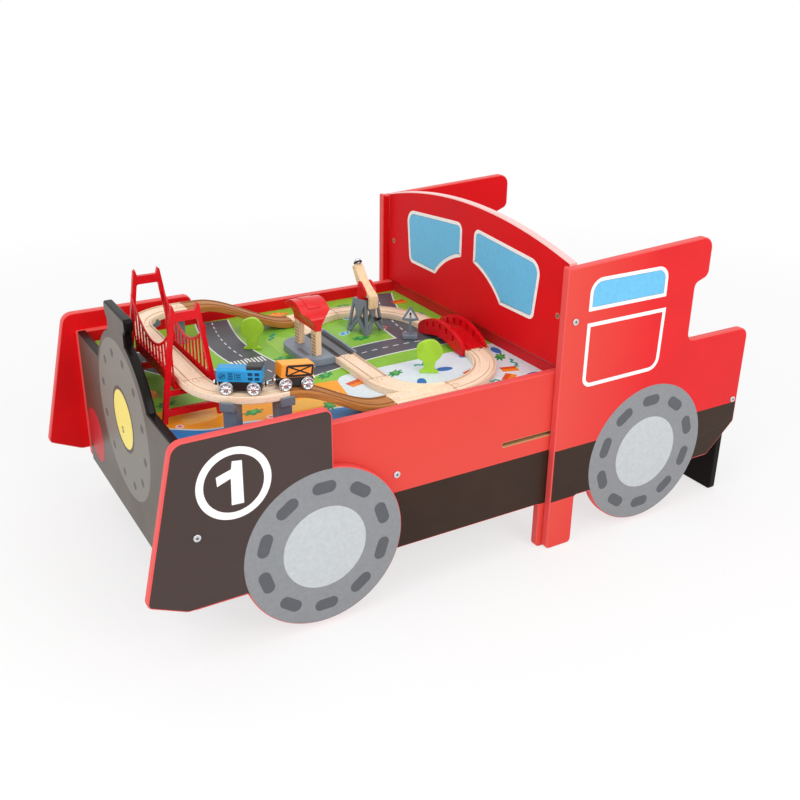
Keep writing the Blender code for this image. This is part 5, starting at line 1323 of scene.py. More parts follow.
        pools = ((0.085, -0.160, 35), (0.010, -0.150, -10), (-0.055, -0.180, 60), (0.130, -0.245, 15),
                 (0.118, 0.120, 0), (0.142, -0.120, 80), (0.060, -0.255, -30), (-0.110, -0.105, 0))
        self.scattered("pool_basins", "#2f6fb8", circle(0, 0, 0.013, 32) * (1.2, 0.62), pools)
        gardens = ((0.012, 0.155, 20), (-0.130, 0.250, 0), (0.125, -0.020, 60), (-0.475, -0.005, 90))
        self.scattered("gardens", "#f08a35", self.blob(0, 0, 0.021, 0.013, 4, 0.16), gardens)
        heads = [(x + u, y + v, 0) for x, y, _ in gardens for u, v in [(1.5 * a, 1.1 * b) for a, b in ring] + [(0, 0)]]
        self.scattered("garden_dots", "#fbe0a0", petals, heads, 0.7)
        squiggle = np.column_stack((np.linspace(-0.018, 0.018, 20), 0.0034 * np.sin(np.linspace(0, 4 * PI, 20))))
        hedges = ((-0.190, 0.140, 60), (-0.115, -0.150, 10), (0.055, -0.235, -20), (-0.010, -0.112, 5),
                  (0.135, -0.185, 80), (0.020, 0.145, 45), (-0.140, -0.215, 20))
        self.ink("hedges", "#22a08e", [stroke(self.placed(squiggle, x, y, turn), 0.0042) for x, y, turn in hedges])
        shade = circle(0, 0, 0.0075, 6)
        tents = ((-0.335, -0.185, 10), (-0.205, -0.152, 30), (-0.470, -0.150, 0), (0.100, 0.165, 0))
        self.scattered("sunshades", "#f7d9cf", shade, tents)
        self.scattered("sunshade_tips", "#ee6c62", shade, tents, 0.5, 30)
        boats = ((-0.455, -0.212, 10), (-0.300, -0.258, -12))
        hull = np.array([(-0.008, 0.0), (-0.005, -0.004), (0.005, -0.004), (0.008, 0.0)])
        self.scattered("boats", "#f2f4f4", hull, boats)
        sail = np.array([(-0.001, 0.001), (0.006, 0.001), (-0.001, 0.010)])
        self.scattered("sails", "#f7c83e", sail, boats)

    def build(self) -> None:
        """Makes the board and its inks, from the ground up."""
        sheet = plate(rectangle(self.low_x, -self.half, self.high_x, self.half), self.top - self.thickness, self.top,
                      Plane.XY)
        grass = ScreenInk("map_ink_grass", "#8ac33f", roughness=0.38, speckle_mm=14.0)
        put("play_board_sheet", sheet, [RAW_EDGE, RAW_EDGE, grass], nodes=["play_board"])
        self.grounds()
        self.streets()
        self.motifs()


# ---------------------------------------------------------------- railway

@dataclass
class Railway:
    """The wooden track: bends, ramps, turnouts, link and loops, with two grooves in every piece."""

    width: float = 0.040
    thickness: float = 0.012
    groove_offset: float = 0.0128
    groove_width: float = 0.0095
    groove_depth: float = 0.002
    high: float = 0.390
    ground: float = 0.3343
    bridge_x: float = -0.438
    bridge_y: tuple[float, float] = (-0.136, 0.125)
    near_radius: float = 0.095
    far_radius: float = 0.080
    gap: float = 0.0003

    def section(self) -> Array:
        """Section of a track, its top at height zero, every edge a little rounded."""
        half = self.width / 2
        deep = -self.thickness
        inner = self.groove_offset - self.groove_width / 2
        outer = self.groove_offset + self.groove_width / 2
        soft, fine = 0.0012, 0.0005
        right = [(inner, 0, fine), (inner + fine, -self.groove_depth, 0.0004),
                 (outer - fine, -self.groove_depth, 0.0004), (outer, 0, fine), (half, 0, soft), (half, deep, soft)]
        left = [(-u, v, r) for u, v, r in reversed(right)]
        return rounded(right + left, math.radians(30))

    def bend(self, cx: float, cy: float, radius: float, start: float, end: float, z: float,
             count: int = 40) -> tuple[Array, Array]:
        """Path and headings of a level bend: a circle arc about its centre."""
        angles = np.linspace(start, end, count + 1)
        path = np.column_stack((cx + radius * np.cos(angles), cy + radius * np.sin(angles), np.full(count + 1, z)))
        return path, angles + (PI / 2 if end > start else -PI / 2)

    def straight(self, start: tuple[float, float], end: tuple[float, float], z: float) -> tuple[Array, Array]:
        """Path and headings of a straight, level run."""
        heading = math.atan2(end[1] - start[1], end[0] - start[0])
        path = np.array([(*start, z), (*end, z)])
        return path, np.array([heading, heading])

    def ramp(self, start_x: float, end_x: float, start_y: float, end_y: float,
             levels: tuple[float, float]) -> tuple[Array, Array]:
        """Path of a ramp: height and plan both follow the smooth step t squared times three minus two t."""
        t = np.linspace(0, 1, 49)
        low, high = start_x + self.gap / 2, end_x - self.gap / 2
        x = low + (high - low) * t
        y = start_y + (end_y - start_y) * t * t * (3 - 2 * t)
        first, last = start_x + levels[0], end_x - levels[1]
        s = np.clip((x - first) / (last - first), 0, 1)
        z = self.high + (self.ground - self.high) * s * s * (3 - 2 * s)
        slope = 6 * t * (1 - t) * (end_y - start_y) / (high - low)
        return np.column_stack((x, y, z)), np.arctan(slope)

    def lay(self, name: str, run: tuple[Array, Array], stained: bool = False) -> None:
        """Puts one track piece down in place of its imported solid, whose name follows from the piece's."""
        finish, slot = (DARK_TRACK, "dark_beech") if stained else (LIGHT_TRACK, "light_beech")
        put(name, swept(*run, self.section()), finish, nodes=["track_" + name.replace("_rail", "")],
            smooth=50)

    def high_bend(self, side: int) -> tuple[Array, Array]:
        """The bend between the bridge and a ramp on the high line, with a short straight tail."""
        radius = self.near_radius if side < 0 else self.far_radius
        cx = self.bridge_x + radius
        cy = self.bridge_y[0] if side < 0 else self.bridge_y[1]
        end_x = -0.330 if side < 0 else -0.335
        start = PI - side * math.asin(self.gap / radius)
        path, headings = self.bend(cx, cy, radius, start, PI - side * PI / 2, self.high)
        tail = [[end_x - self.gap / 2, cy + side * radius, self.high]]
        return np.vstack((path, tail)), np.append(headings, headings[-1])

    def build(self) -> None:
        """Lays every track piece."""
        gap = self.gap
        near_y, far_y = self.bridge_y
        deck = self.straight((self.bridge_x, near_y + gap), (self.bridge_x, far_y - gap), self.high)
        self.lay("bridge_rail", deck)
        for label, side in SIDES.items():
            self.lay("high_bend_rail_" + label, self.high_bend(side))
        near = self.ramp(-0.330, -0.150, -0.231, -0.240, (0.0, 0.015))
        far = self.ramp(-0.335, -0.130, 0.205, 0.187, (0.0275, 0.0))
        self.lay("ramp_rail_near", near, stained=True)
        self.lay("ramp_rail_far", far, stained=True)
        link = self.straight((-0.125, -0.150 + gap), (-0.125, -0.032 - gap), self.ground)
        self.lay("link_rail", link)
        joint = math.asin((-0.118 - gap + 0.110) / 0.110)
        near_loop = self.bend(-0.035, -0.110, 0.130, -PI / 2, joint, self.ground, 60)
        self.lay("loop_rail_near", near_loop)
        path, headings = self.bend(-0.035, 0.057, 0.130, 0.0, PI / 2, self.ground, 60)
        path = np.vstack(([[0.095, 0.034 + gap, self.ground]], path))
        self.lay("loop_rail_far", (path, np.append([PI / 2], headings)))
        for label in SIDES:
            copied("turnout_rail_" + label, "track_turnout_" + label, TURNOUT_BEECH, bevel=0.0005)
        self.joints()

    def joints(self) -> None:
        """The dark gap of the jigsaw joint between two track pieces: a keyhole line on the top, at each joint."""
        spots = [(-0.330, -0.231, self.high, PI), (-0.335, 0.205, self.high, PI), (-0.150, -0.240, self.ground, 0.0),
                 (-0.130, 0.187, self.ground, 0.0), (-0.035, -0.240, self.ground, 0.0),
                 (-0.035, 0.187, self.ground, 0.0), (-0.125, -0.150, self.ground, -PI / 2),
                 (-0.125, -0.032, self.ground, -PI / 2), (-0.125, 0.097, self.ground, PI / 2),
                 (0.095, -0.118, self.ground, -PI / 2), (0.095, 0.034, self.ground, PI / 2),
                 (self.bridge_x, self.bridge_y[0], self.high, -PI / 2),
                 (self.bridge_x, self.bridge_y[1], self.high, PI / 2)]
        knob = arc(0.0095, 0, 0.0050, -PI * 0.80, PI * 0.80, math.radians(12))
        keyhole = np.vstack(([[-0.0006, -0.0026]], knob, [[-0.0006, 0.0026]]))
        outer, inner = tidy(keyhole), shrunk(tidy(keyhole), 0.0007)
        face = Face(Plane.XY, 0.0, 1)
        knob_gap = face.line(outer, inner, FILM / 2)
        seam_gap = face.patch(rectangle(-0.0005, -0.0200, 0.0005, 0.0200), FILM / 2)
        gaps: list[Solid] = []
        for x, y, z, turn in spots:
            gaps += [shape.moved(placing((x, y, z), turn)) for shape in (knob_gap, seam_gap)]
        put("track_joint_gaps", all_of(gaps), JOINT_BROWN)


@dataclass
class Piers:
    """Piers under the high bends, each with two raised lips that hold the track at its sides."""

    lip_inner: float = 0.0206
    lip_outer: float = 0.0252
    lip_low: float = 0.3690
    lip_top: float = 0.3835
    foot_inner: float = 0.016
    foot_outer: float = 0.022
    foot_top: float = 0.3745
    thickness: float = 0.022
    spots: tuple[tuple[float, float, float], ...] = ((130.0, 0.0, 0.005), (90.0, 0.008, 0.0))
    railway: Railway = field(default_factory=Railway)

    def place(self, side: int, spot: tuple[float, float, float]) -> Matrix:
        """Where a pier stands: on a spoke of its bend, turned so that local Y goes across the track."""
        radius = self.railway.near_radius if side < 0 else self.railway.far_radius
        centre = (self.railway.bridge_x + radius, self.railway.bridge_y[0 if side < 0 else 1])
        spoke = math.radians(spot[0])
        reach = radius + spot[2]
        x = centre[0] + reach * math.cos(spoke) + spot[1]
        y = centre[1] + side * reach * math.sin(spoke)
        return placing((x, y, 0), side * (spoke - PI / 2))

    def build(self) -> None:
        """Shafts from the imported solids, with lips of their own."""
        half = self.thickness / 2
        for label, side in SIDES.items():
            for number, spot in enumerate(self.spots, 1):
                copied(f"pier_block_{label}_{number}", f"pier_{label}_{number}", SLATE_ABS, bevel=0.0010)
                lips = []
                for hand in (-1, 1):
                    low, high = sorted((hand * self.lip_inner, hand * self.lip_outer))
                    lips.append(plate(rectangle(low, self.lip_low, high, self.lip_top, 0.0012), -half, half, Plane.YZ,
                                      ease=0.0008))
                    low, high = sorted((hand * self.foot_inner, hand * self.foot_outer))
                    lips.append(plate(rectangle(low, self.lip_low, high, self.foot_top), -half, half, Plane.YZ))
                put(f"pier_lips_{label}_{number}", all_of(lips).moved(self.place(side, spot)).slotted(0), SLATE_ABS)


@dataclass
class Station:
    """The station: a stone-grey platform, a dark track bed, two printed posts and a saddle roof."""

    base: float = 0.3223
    top: float = 0.3363
    bed_x: float = -0.125
    low_y: float = -0.0317
    high_y: float = 0.0967
    post_x: float = -0.170
    groove_half: float = 0.0043
    post_face_x: float = -0.1755
    post_width: float = 0.019
    post_depth: float = 0.011
    post_z: tuple[float, float] = (0.3366, 0.3817)
    post_y: tuple[float, float] = (-0.0115, 0.0575)
    railway: Railway = field(default_factory=Railway)

    def platform(self) -> Solid:
        """The platform: straight along the bed, curved at its two outer corners."""
        edge = self.bed_x - 0.0203
        outline = rounded([(-0.200, -0.036, 0.034), (edge, -0.036, 0.001), (edge, 0.090, 0.001),
                           (-0.200, 0.090, 0.034)], math.radians(6))
        return plate(outline, self.base, self.top, Plane.XY, ease=0.0015)

    def panel(self) -> Solid:
        """The raised panel on the roof: a band of the roof's own arch, a millimetre over it."""
        radius, centre_z, middle = 0.0511, 0.3789, 0.023
        outer = arc(middle, centre_z, radius + 0.0011, PI / 2 - 0.62, PI / 2 + 0.62)
        inner = arc(middle, centre_z, radius - 0.0010, PI / 2 - 0.62, PI / 2 + 0.62)[::-1]
        return plate(np.vstack((outer, inner)), self.post_x - 0.0125, self.post_x + 0.0125, Plane.YZ, ease=0.0004)

    def build(self) -> None:
        """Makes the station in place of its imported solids."""
        put("station_platform_block", self.platform(), STONE_ABS, nodes=["station_platform"])
        run = self.railway.straight((self.bed_x, self.low_y), (self.bed_x, self.high_y), self.railway.ground)
        put("station_bed", swept(run[0], run[1], self.railway.section()), BED_ABS, smooth=50)
        # Painted shade: a black sheet on the floor of each groove of the bed, standing for the shade in the grooves.
        half = self.groove_half
        grooves = [rectangle(self.bed_x + o - half, self.low_y, self.bed_x + o + half, self.high_y)
                   for o in (-self.railway.groove_offset, self.railway.groove_offset)]
        bottom = Face(Plane.XY, self.railway.ground - self.railway.groove_depth, 1)
        put("station_bed_groove_shade", bottom.patches(grooves), JET_INK)
        kerb = plate(rectangle(self.bed_x + 0.0203, self.low_y, self.bed_x + 0.0245, self.high_y, 0.0008), self.base,
                     self.top + 0.0006, Plane.XY, ease=0.0008)
        put("station_kerb", kerb, STONE_ABS)
        # Painted shade: a flat darker patch on the platform's top where it has a recess, standing for the shade in it.
        recess = Face(Plane.XY, self.top, 1).patch(rectangle(-0.190, -0.010, -0.181, 0.030, 0.002))
        put("station_platform_recess_shade", recess, BED_ABS)
        copied("station_roof_shell", "station_roof", ROOF_ABS, bevel=0.0010)
        put("station_roof_panel", self.panel(), ROOF_ABS)
        for number, y in enumerate(self.post_y, 1):
            half = self.post_width / 2
            foot = rectangle(self.post_face_x, y - half, self.post_face_x + self.post_depth, y + half, 0.0008)
            post = plate(foot, *self.post_z, Plane.XY, ease=0.0006)
            put(f"station_post_block_{number}", post.slotted(0), POST_BEECH, nodes=[f"station_post_{number}"])
            spots = [(y + (k - 1) * 0.0055, z) for z in np.arange(0.3415, 0.378, 0.0062) for k in range(3)]
            stones = [np.array([(u - 0.0022, v), (u, v - 0.0024), (u + 0.0022, v), (u, v + 0.0024)]) for u, v in spots]
            face = Face(Plane.YZ, self.post_face_x, -1)
            put(f"station_post_print_{number}", face.patches(stones), RUST_INK)


@dataclass
class Crane:
    """The crane's skin: tower, turntable with cheeks, boom, magnet in its black ring and the winch knob."""

    x: float = -0.016
    y: float = 0.090
    pivot_z: float = 0.4081
    tip: tuple[float, float] = (0.037, 0.039)
    ball: float = 0.0070
    ball_offset: tuple[float, float] = (-0.0075, 0.0030)
    ring_radius: float = 0.0064
    ring_tube: float = 0.0020
    ring_drop: float = 0.0008
    ring_lean: float = math.radians(-35)
    ring_sides: int = 12
    turn_sides: int = 40

    def magnet(self) -> tuple[Solid, Solid]:
        """The ball and the ring that holds it, on the boom's end."""
        steps = np.linspace(-PI / 2, PI / 2, 17)
        sphere = np.column_stack((self.ball * np.cos(steps), self.ball * np.sin(steps)))
        sphere[0, 0] = sphere[-1, 0] = 0.0
        place = Matrix.Translation((self.x, self.y + self.tip[0] + self.ball_offset[0],
                                    self.pivot_z + self.tip[1] + self.ball_offset[1]))
        around = np.linspace(0, 2 * PI, self.ring_sides + 1)[:-1]
        radii = self.ring_radius + self.ring_tube * np.cos(around)[:, None]
        heights = self.ring_tube * np.sin(around)[:, None]
        angles = np.arange(self.turn_sides) * (2 * PI / self.turn_sides)
        grid = np.broadcast_arrays(radii * np.cos(angles), radii * np.sin(angles), heights)
        faces = lattice(self.ring_sides, self.turn_sides, wrap_rows=True).tolist()
        band = Solid(np.stack(grid, axis=-1).reshape(-1, 3), faces, [0] * len(faces))
        seat = place @ Matrix.Translation((0, 0, -self.ring_drop)) @ Matrix.Rotation(self.ring_lean, 4, "X")
        return turned(sphere, self.turn_sides).moved(place), band.moved(seat)

    def build(self) -> None:
        """Dresses each part of the crane on its own body."""
        copied("crane_tower_shell", "crane_tower", CRANE_ABS, bevel=0.0005)
        copied("crane_turntable_shell", "crane_turntable", RED_ABS, "crane_top", bevel=0.0006)
        copied("crane_boom_bar", "crane_boom", BOOM_BEECH, "crane_boom", bevel=0.0008)
        ball, band = self.magnet()
        put("crane_magnet_ball", ball, ZINC, "crane_boom", ["crane_magnet"], smooth=60)
        put("crane_magnet_ring", band, BLACK_ABS, "crane_boom", smooth=60)
        copied("crane_winch_grip", "crane_winch_knob", BLACK_ABS, "crane_winch", bevel=0.0006)


@dataclass
class Scenery:
    """Bridges, trees and the road sign."""

    sign_place: tuple[float, float, float] = (0.0365, 0.010, 0.3223)
    sign_turn: float = math.radians(-31.0)
    sign_half: float = 0.002
    bridge_x: float = -0.438
    bridge_low_y: float = -0.1257
    bridge_high_y: float = 0.0707
    floor_low: float = 0.3737
    sill: float = 0.3930
    cable_low: float = 0.4225
    cable_high: float = 0.4700
    hangers: int = 12

    def cable(self, y: Array | float) -> Array | float:
        """Height of the bridge's cable: a parabola that hangs between the towers."""
        middle = (self.bridge_low_y + self.bridge_high_y) / 2
        reach = (self.bridge_high_y - self.bridge_low_y) / 2
        return self.cable_low + (self.cable_high - self.cable_low) * ((y - middle) / reach) ** 2

    def bridge_panels(self) -> None:
        """The bridge's floor and its two cable panels, with a slit between each two hangers."""
        low, high = self.bridge_low_y, self.bridge_high_y
        ys = np.linspace(low, high, 33)
        web = np.vstack((np.column_stack((ys, self.cable(ys))), [(high, self.floor_low), (low, self.floor_low)]))
        pitch = (high - low) / self.hangers
        slits = []
        for i in range(self.hangers):
            a, b = low + pitch * (i + 0.14), low + pitch * (i + 0.82)
            slits.append(np.array([(a, self.sill), (b, self.sill), (b, self.cable(b) - 0.005),
                                   (a, self.cable(a) - 0.005)]))
        parts = [plate(rectangle(self.bridge_x - 0.0275, low, self.bridge_x + 0.0275, high), self.floor_low,
                       self.floor_low + 0.004, Plane.XY).slotted(0)]
        for side in (-1, 1):
            edges = sorted((self.bridge_x + side * 0.0285, self.bridge_x + side * 0.0263))
            parts.append(plate(web, *edges, Plane.YZ, slits, ease=0.0005, steps=2).slotted(0))
        put("bridge_cable_panels", all_of(parts), RED_ABS, nodes=["bridge_deck"])

    def sign(self) -> None:
        """The sign's shell, its pale panel and a plain dark bar and dot on it, front and back."""
        copied("road_sign_shell", "road_sign", SLATE_ABS, "road_sign", bevel=0.0005)
        place = placing(self.sign_place, self.sign_turn)
        panel = np.array([(-0.0108, 0.0402), (0.0108, 0.0402), (0.0, 0.0572)])
        bar = np.array([(-0.0016, 0.0455), (0.0016, 0.0455), (0.0020, 0.0515), (-0.0020, 0.0515)])
        for label, out in (("front", -1), ("back", 1)):
            face = Face(Plane.XZ, out * self.sign_half, out)
            marks = face.patches((bar, circle(0, 0.0428, 0.0017, 16)), 2 * FILM)
            put("sign_panel_" + label, face.patch(panel).moved(place), PANEL_INK, "road_sign")
            put("sign_mark_" + label, marks.moved(place), JET_INK, "road_sign")

    def build(self) -> None:
        """Dresses the scenery."""
        for label in SIDES:
            copied("bridge_tower_shell_" + label, "bridge_tower_" + label, RED_ABS, bevel=0.0010)
        self.bridge_panels()
        copied("arched_bridge_shell", "arched_bridge", RED_ABS, bevel=0.0009)
        copied("tree_near_shell", "tree_near", LEAF_ABS, "tree_near", bevel=0.0010)
        copied("tree_far_shell", "tree_far", LEAF_ABS, "tree_far", bevel=0.0010)
        self.sign()


@dataclass
class Vehicle:
    """A wooden railway vehicle on a curved or sloping track: block body, underframe, magnets and spoked wheels."""

    name: str
    place: tuple[float, float, float]
    heading: float
    pitch: float
    length: float
    wheelbase: float
    block: Finish
    shoulder: float
    half: float = 0.012
    body_low: float = 0.0193
    body_top: float = 0.0398
    axle_z: float = 0.0087
    wheel_radius: float = 0.0104
    wheel_inner: float = 0.0108
    wheel_width: float = 0.004

    def stand(self) -> Matrix:
        """The vehicle's place: on the rail, turned to its heading, tipped by its pitch."""
        turn = Matrix.Rotation(self.heading, 4, "Z") @ Matrix.Rotation(self.pitch, 4, "Y")
        return Matrix.Translation(self.place) @ turn

    def body(self) -> None:
        """The block body, its shoulders rounded."""
        reach = self.length / 2
        section = rounded([(-self.half, self.body_low, 0.0008), (self.half, self.body_low, 0.0008),
                           (self.half, self.body_top, self.shoulder), (-self.half, self.body_top, self.shoulder)],
                          math.radians(12))
        block = plate(section, -reach, reach, Plane.YZ, ease=0.0008).moved(self.stand())
        put(self.name + "_body_block", block.slotted(0), self.block, self.name, [self.name + "_body"])

    def underframe(self) -> None:
        """The black underframe and the bright coupling magnets with their black rings."""
        reach = self.length / 2 - 0.001
        beam = plate(rectangle(-reach + 0.001, -0.00975, reach - 0.001, 0.00975, 0.0006), 0.0045, 0.0179, Plane.XY,
                     ease=0.0005)
        sole = plate(rectangle(-reach, -0.0105, reach, 0.0105, 0.0006), 0.0168, 0.0190, Plane.XY, ease=0.0005)
        frame = beam.joined(sole).moved(self.stand()).slotted(0)
        put(self.name + "_underframe", frame, BLACK_ABS, self.name, [self.name + "_chassis"])
        turn_out = Matrix.Translation((reach - 0.002, 0, 0.0135)) @ Matrix.Rotation(PI / 2, 4, "Y")
        pin = np.array([(0, 0), (0.0028, 0), (0.0028, 0.0052), (0.0040, 0.0056), (0.0040, 0.0098), (0.0034, 0.0105),
                        (0, 0.0105)])
        cup = np.array([(0, 0.0050), (0.0036, 0.0050), (0.0042, 0.0054), (0.0042, 0.0076), (0.0038, 0.0080),
                        (0, 0.0080)])
        half_turn = Matrix.Rotation(PI, 4, "Z")
        for kind, profile, finish in (("magnets", pin, SILVER), ("magnet_cups", cup, BLACK_ABS)):
            shape = turned(profile, 28).moved(turn_out)
            pair = shape.joined(shape.moved(half_turn)).moved(self.stand())
            put(f"{self.name}_{kind}", pair, finish, self.name)

    def spokes(self, turn: Array, radius: Array) -> Array:
        """Relief of a wheel's face: eight spokes as a cosine of the angle, between hub and rim only."""
        window = np.clip((radius - 0.0034) / 0.0008, 0, 1) * np.clip((0.0080 - radius) / 0.0008, 0, 1)
        return -0.0011 * window * (0.5 - 0.5 * np.cos(8 * turn)) ** 0.7

    def wheels(self) -> None:
        """Two wheel pairs: rims with a flange, eight spokes and a small hub, each pair on its own body."""
        wide = self.wheel_width
        radius = self.wheel_radius
        profile = np.array([(0, 0), (radius - 0.0006, 0), (radius, 0.0004), (radius, 0.0010),
                            (radius - 0.0006, 0.0015), (radius - 0.0008, wide - 0.0004), (radius - 0.0013, wide),
                            (0.0084, wide), (0.0078, wide - 0.0004), (0.0070, wide - 0.0005),
                            (0.0060, wide - 0.0005), (0.0050, wide - 0.0005), (0.0042, wide - 0.0005),
                            (0.0034, wide - 0.0002), (0.0030, wide + 0.0004), (0.0020, wide + 0.0007),
                            (0, wide + 0.0007)])
        wheel = turned(profile, 64, self.spokes)
        hub = turned(np.array([(0, wide), (0.0018, wide), (0.0018, wide + 0.0009), (0.0012, wide + 0.0012),
                               (0, wide + 0.0012)]), 20)
        axle = turned(np.array([(0, -self.wheel_inner), (0.002, -self.wheel_inner), (0.002, self.wheel_inner),
                                (0, self.wheel_inner)]), 20)
        for label, x in (("front", -self.wheelbase / 2), ("rear", self.wheelbase / 2)):
            body = f"{self.name}_wheels_{label}"
            for kind, shape, finish in (("rims", wheel, SILVER), ("hubs", hub, HUB_RED)):
                parts = [axle] if kind == "rims" else []
                parts += [shape.moved(Matrix.Translation((0, 0, self.wheel_inner)))]
                parts += [shape.moved(Matrix.Rotation(PI, 4, "X") @ Matrix.Translation((0, 0, self.wheel_inner)))]
                seat = self.stand() @ Matrix.Translation((x, 0, self.axle_z)) @ Matrix.Rotation(PI / 2, 4, "X")
                nodes = [f"{self.name}_axle_{label}"] if kind == "rims" else []
                put(f"{self.name}_{kind}_{label}", all_of(parts).moved(seat), finish, body, nodes,
                    smooth=45)

    def printed(self, label: str, outlines: Sequence[Array], finish: Finish, lift: float = FILM) -> None:
        """Pad prints on both long sides, drawn as seen from the near side."""
        sides = [Face(Plane.XZ, out * self.half, out).patches(outlines, lift) for out in (-1, 1)]
        put(f"{self.name}_{label}", all_of(sides).moved(self.stand()), finish, self.name)

    def build(self) -> None:
        """Makes body, underframe and wheels."""
        self.body()
        self.underframe()
        self.wheels()


@dataclass
class Train:
    """The engine on the near high bend and the wagon behind it, half on the ramp."""

    thin_line: float = 0.0009
    vent_place: tuple[float, float] = (-0.0255, 0.0085)
    vent_radius: float = 0.0048
    frame_inset: float = 0.0026
    frame_line: float = 0.0036
    cross_line: float = 0.0024
    frame_ends: tuple[float, float] = (-0.0180, 0.0240)
    stain_half: tuple[float, float] = (0.0255, 0.0112)
    roof_ends: tuple[float, float] = (0.0105, 0.0333)
    engine: Vehicle = field(default_factory=lambda: Vehicle(
        "engine", (-0.39217, -0.21469, 0.390), math.radians(-32.0), 0.0, 0.067, 0.0407, BLUE_ABS, 0.0045))
    wagon: Vehicle = field(default_factory=lambda: Vehicle(
        "wagon", (-0.3165, -0.231, 0.3876423), 0.0, 0.1313, 0.053, 0.036, ORANGE_ABS, 0.001))

    def engine_prints(self) -> None:
        """A hatched round vent, louvres, a hatch and two rows of small windows in dark blue."""
        low = self.engine.body_low
        vent_x, vent_z = self.vent_place[0], low + self.vent_place[1]
        vent = circle(vent_x, vent_z, self.vent_radius, 28)
        stripes = []
        for offset in (-0.0024, 0.0, 0.0024):
            line = np.array([(-0.0035 + offset, -0.0035), (0.0035 + offset, 0.0035)]) * 0.8
            stripes.append(stroke(line + (vent_x, vent_z), self.thin_line))
        ring = shrunk(tidy(vent), 0.0008)
        louvres = [rectangle(-0.0165, low + 0.0035 + 0.0024 * k, -0.0095, low + 0.0048 + 0.0024 * k) for k in range(5)]
        sill, head, left = low + 0.004, low + 0.013, -0.0065
        edges = ((left, sill), (0.0035, sill)), ((left, head), (0.0035, head)), ((left, sill), (left, head))
        hatch = [stroke(np.array(ends), self.thin_line) for ends in edges]
        hatch += [rectangle(-0.0045, low + v, 0.0020, low + v + 0.0017) for v in (0.0065, 0.0095)]
        panes = [rectangle(0.0125 + 0.0100 * i, low + 0.0030 + 0.0072 * k, 0.0195 + 0.0100 * i,
                           low + 0.0078 + 0.0072 * k, 0.0010) for i in range(2) for k in range(2)]
        self.engine.printed("side_print", stripes + louvres + hatch + panes, NAVY_INK)
        rings = [Face(Plane.XZ, out * self.engine.half, out).line(vent, ring) for out in (-1, 1)]
        put("engine_vent_print", all_of(rings).moved(self.engine.stand()), NAVY_INK, "engine")

    def wagon_prints(self) -> None:
        """A black frame with a diagonal cross on both sides."""
        low, top = self.wagon.body_low + self.frame_inset, self.wagon.body_top - self.frame_inset
        left, right = self.frame_ends
        a, b, c, d = (left, low), (right, low), (left, top), (right, top)
        bars = [stroke(np.array(ends), self.frame_line) for ends in ((a, b), (c, d), (a, c), (b, d))]
        long, wide = self.stain_half
        top_face = Face(Plane.XY, self.wagon.body_top, 1).patch(rectangle(-long, -wide, long, wide))
        put("wagon_top_stain", top_face.moved(self.wagon.stand()), STAIN_INK, "wagon")
        self.wagon.printed("frame_print", bars, JET_INK, FILM)
        self.wagon.printed("cross_print", [stroke(np.array((a, d)), self.cross_line)], JET_INK, 1.5 * FILM)
        self.wagon.printed("counter_print", [stroke(np.array((c, b)), self.cross_line)], JET_INK, 2 * FILM)

    def build(self) -> None:
        """Makes both vehicles, their prints and the engine's black roof."""
        self.engine.build()
        self.wagon.build()
        self.engine_prints()
        self.wagon_prints()
        section = rounded([(-0.0112, 0.0352, 0.0006), (0.0112, 0.0352, 0.0006), (0.0105, 0.0436, 0.0022),
                           (-0.0105, 0.0436, 0.0022)], math.radians(12))
        roof = plate(section, *self.roof_ends, Plane.YZ, ease=0.0008).moved(self.engine.stand())
        put("engine_roof_block", roof.slotted(0), BLACK_ABS, "engine", ["engine_roof"])


@dataclass
class Hardware:
    """The zinc-plated bolts, each with a socket in its head, and the barrel nuts seen in the windshield."""

    bolts: tuple[tuple[str, float, float, float], ...] = (
        ("nose", -0.5079, 0.223, 0.3095), ("centre_beam", -0.170, 0.229, 0.2942),
        ("windshield", 0.160, 0.434, 0.3095), ("rear", 0.5745, 0.205, 0.3095))
    head: float = 0.006
    sunk: float = 0.004
    height: float = 0.0022
    socket: float = 0.0024
    socket_lift: float = 0.00003
    nut_y: float = 0.272
    nut_z: float = 0.434
    nut_face_x: float = 0.1526
    nut_radius: float = 0.0036
    nut_bore: float = 0.0052

    def build(self) -> None:
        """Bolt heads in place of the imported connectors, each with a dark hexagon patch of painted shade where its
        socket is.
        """
        # Painted shade: the hexagon socket is a flat dark patch on the head, standing for the shade inside it.
        socket = Face(Plane.XY, self.height, 1).patch(circle(0, 0, self.socket, 6), self.socket_lift)
        crown = plate(circle(0, 0, self.head, 36), -self.sunk, self.height, Plane.XY, ease=0.0009).slotted(0)
        for name, x, z, face in self.bolts:
            for label, side in SIDES.items():
                turn = Matrix.Translation((x, side * face, z)) @ Matrix.Rotation(-side * PI / 2, 4, "X")
                put(f"bolt_{name}_{label}", crown.moved(turn), ZINC, nodes=[f"connector_{name}_{label}"])
                put(f"bolt_socket_shade_{name}_{label}", socket.moved(turn), MARK_INK)
        shield = Face(Plane.YZ, self.nut_face_x, -1)
        for label, side in SIDES.items():
            y, z = side * self.nut_y, self.nut_z
            put("nut_rim_" + label, shield.patch(circle(y, z, self.nut_bore, 32)), RAW_EDGE)
            nut = shield.patch(circle(y, z, self.nut_radius, 32), 2 * FILM)
            put("nut_face_" + label, nut, NUT_GREY)


# ---------------------------------------------------------------- studio

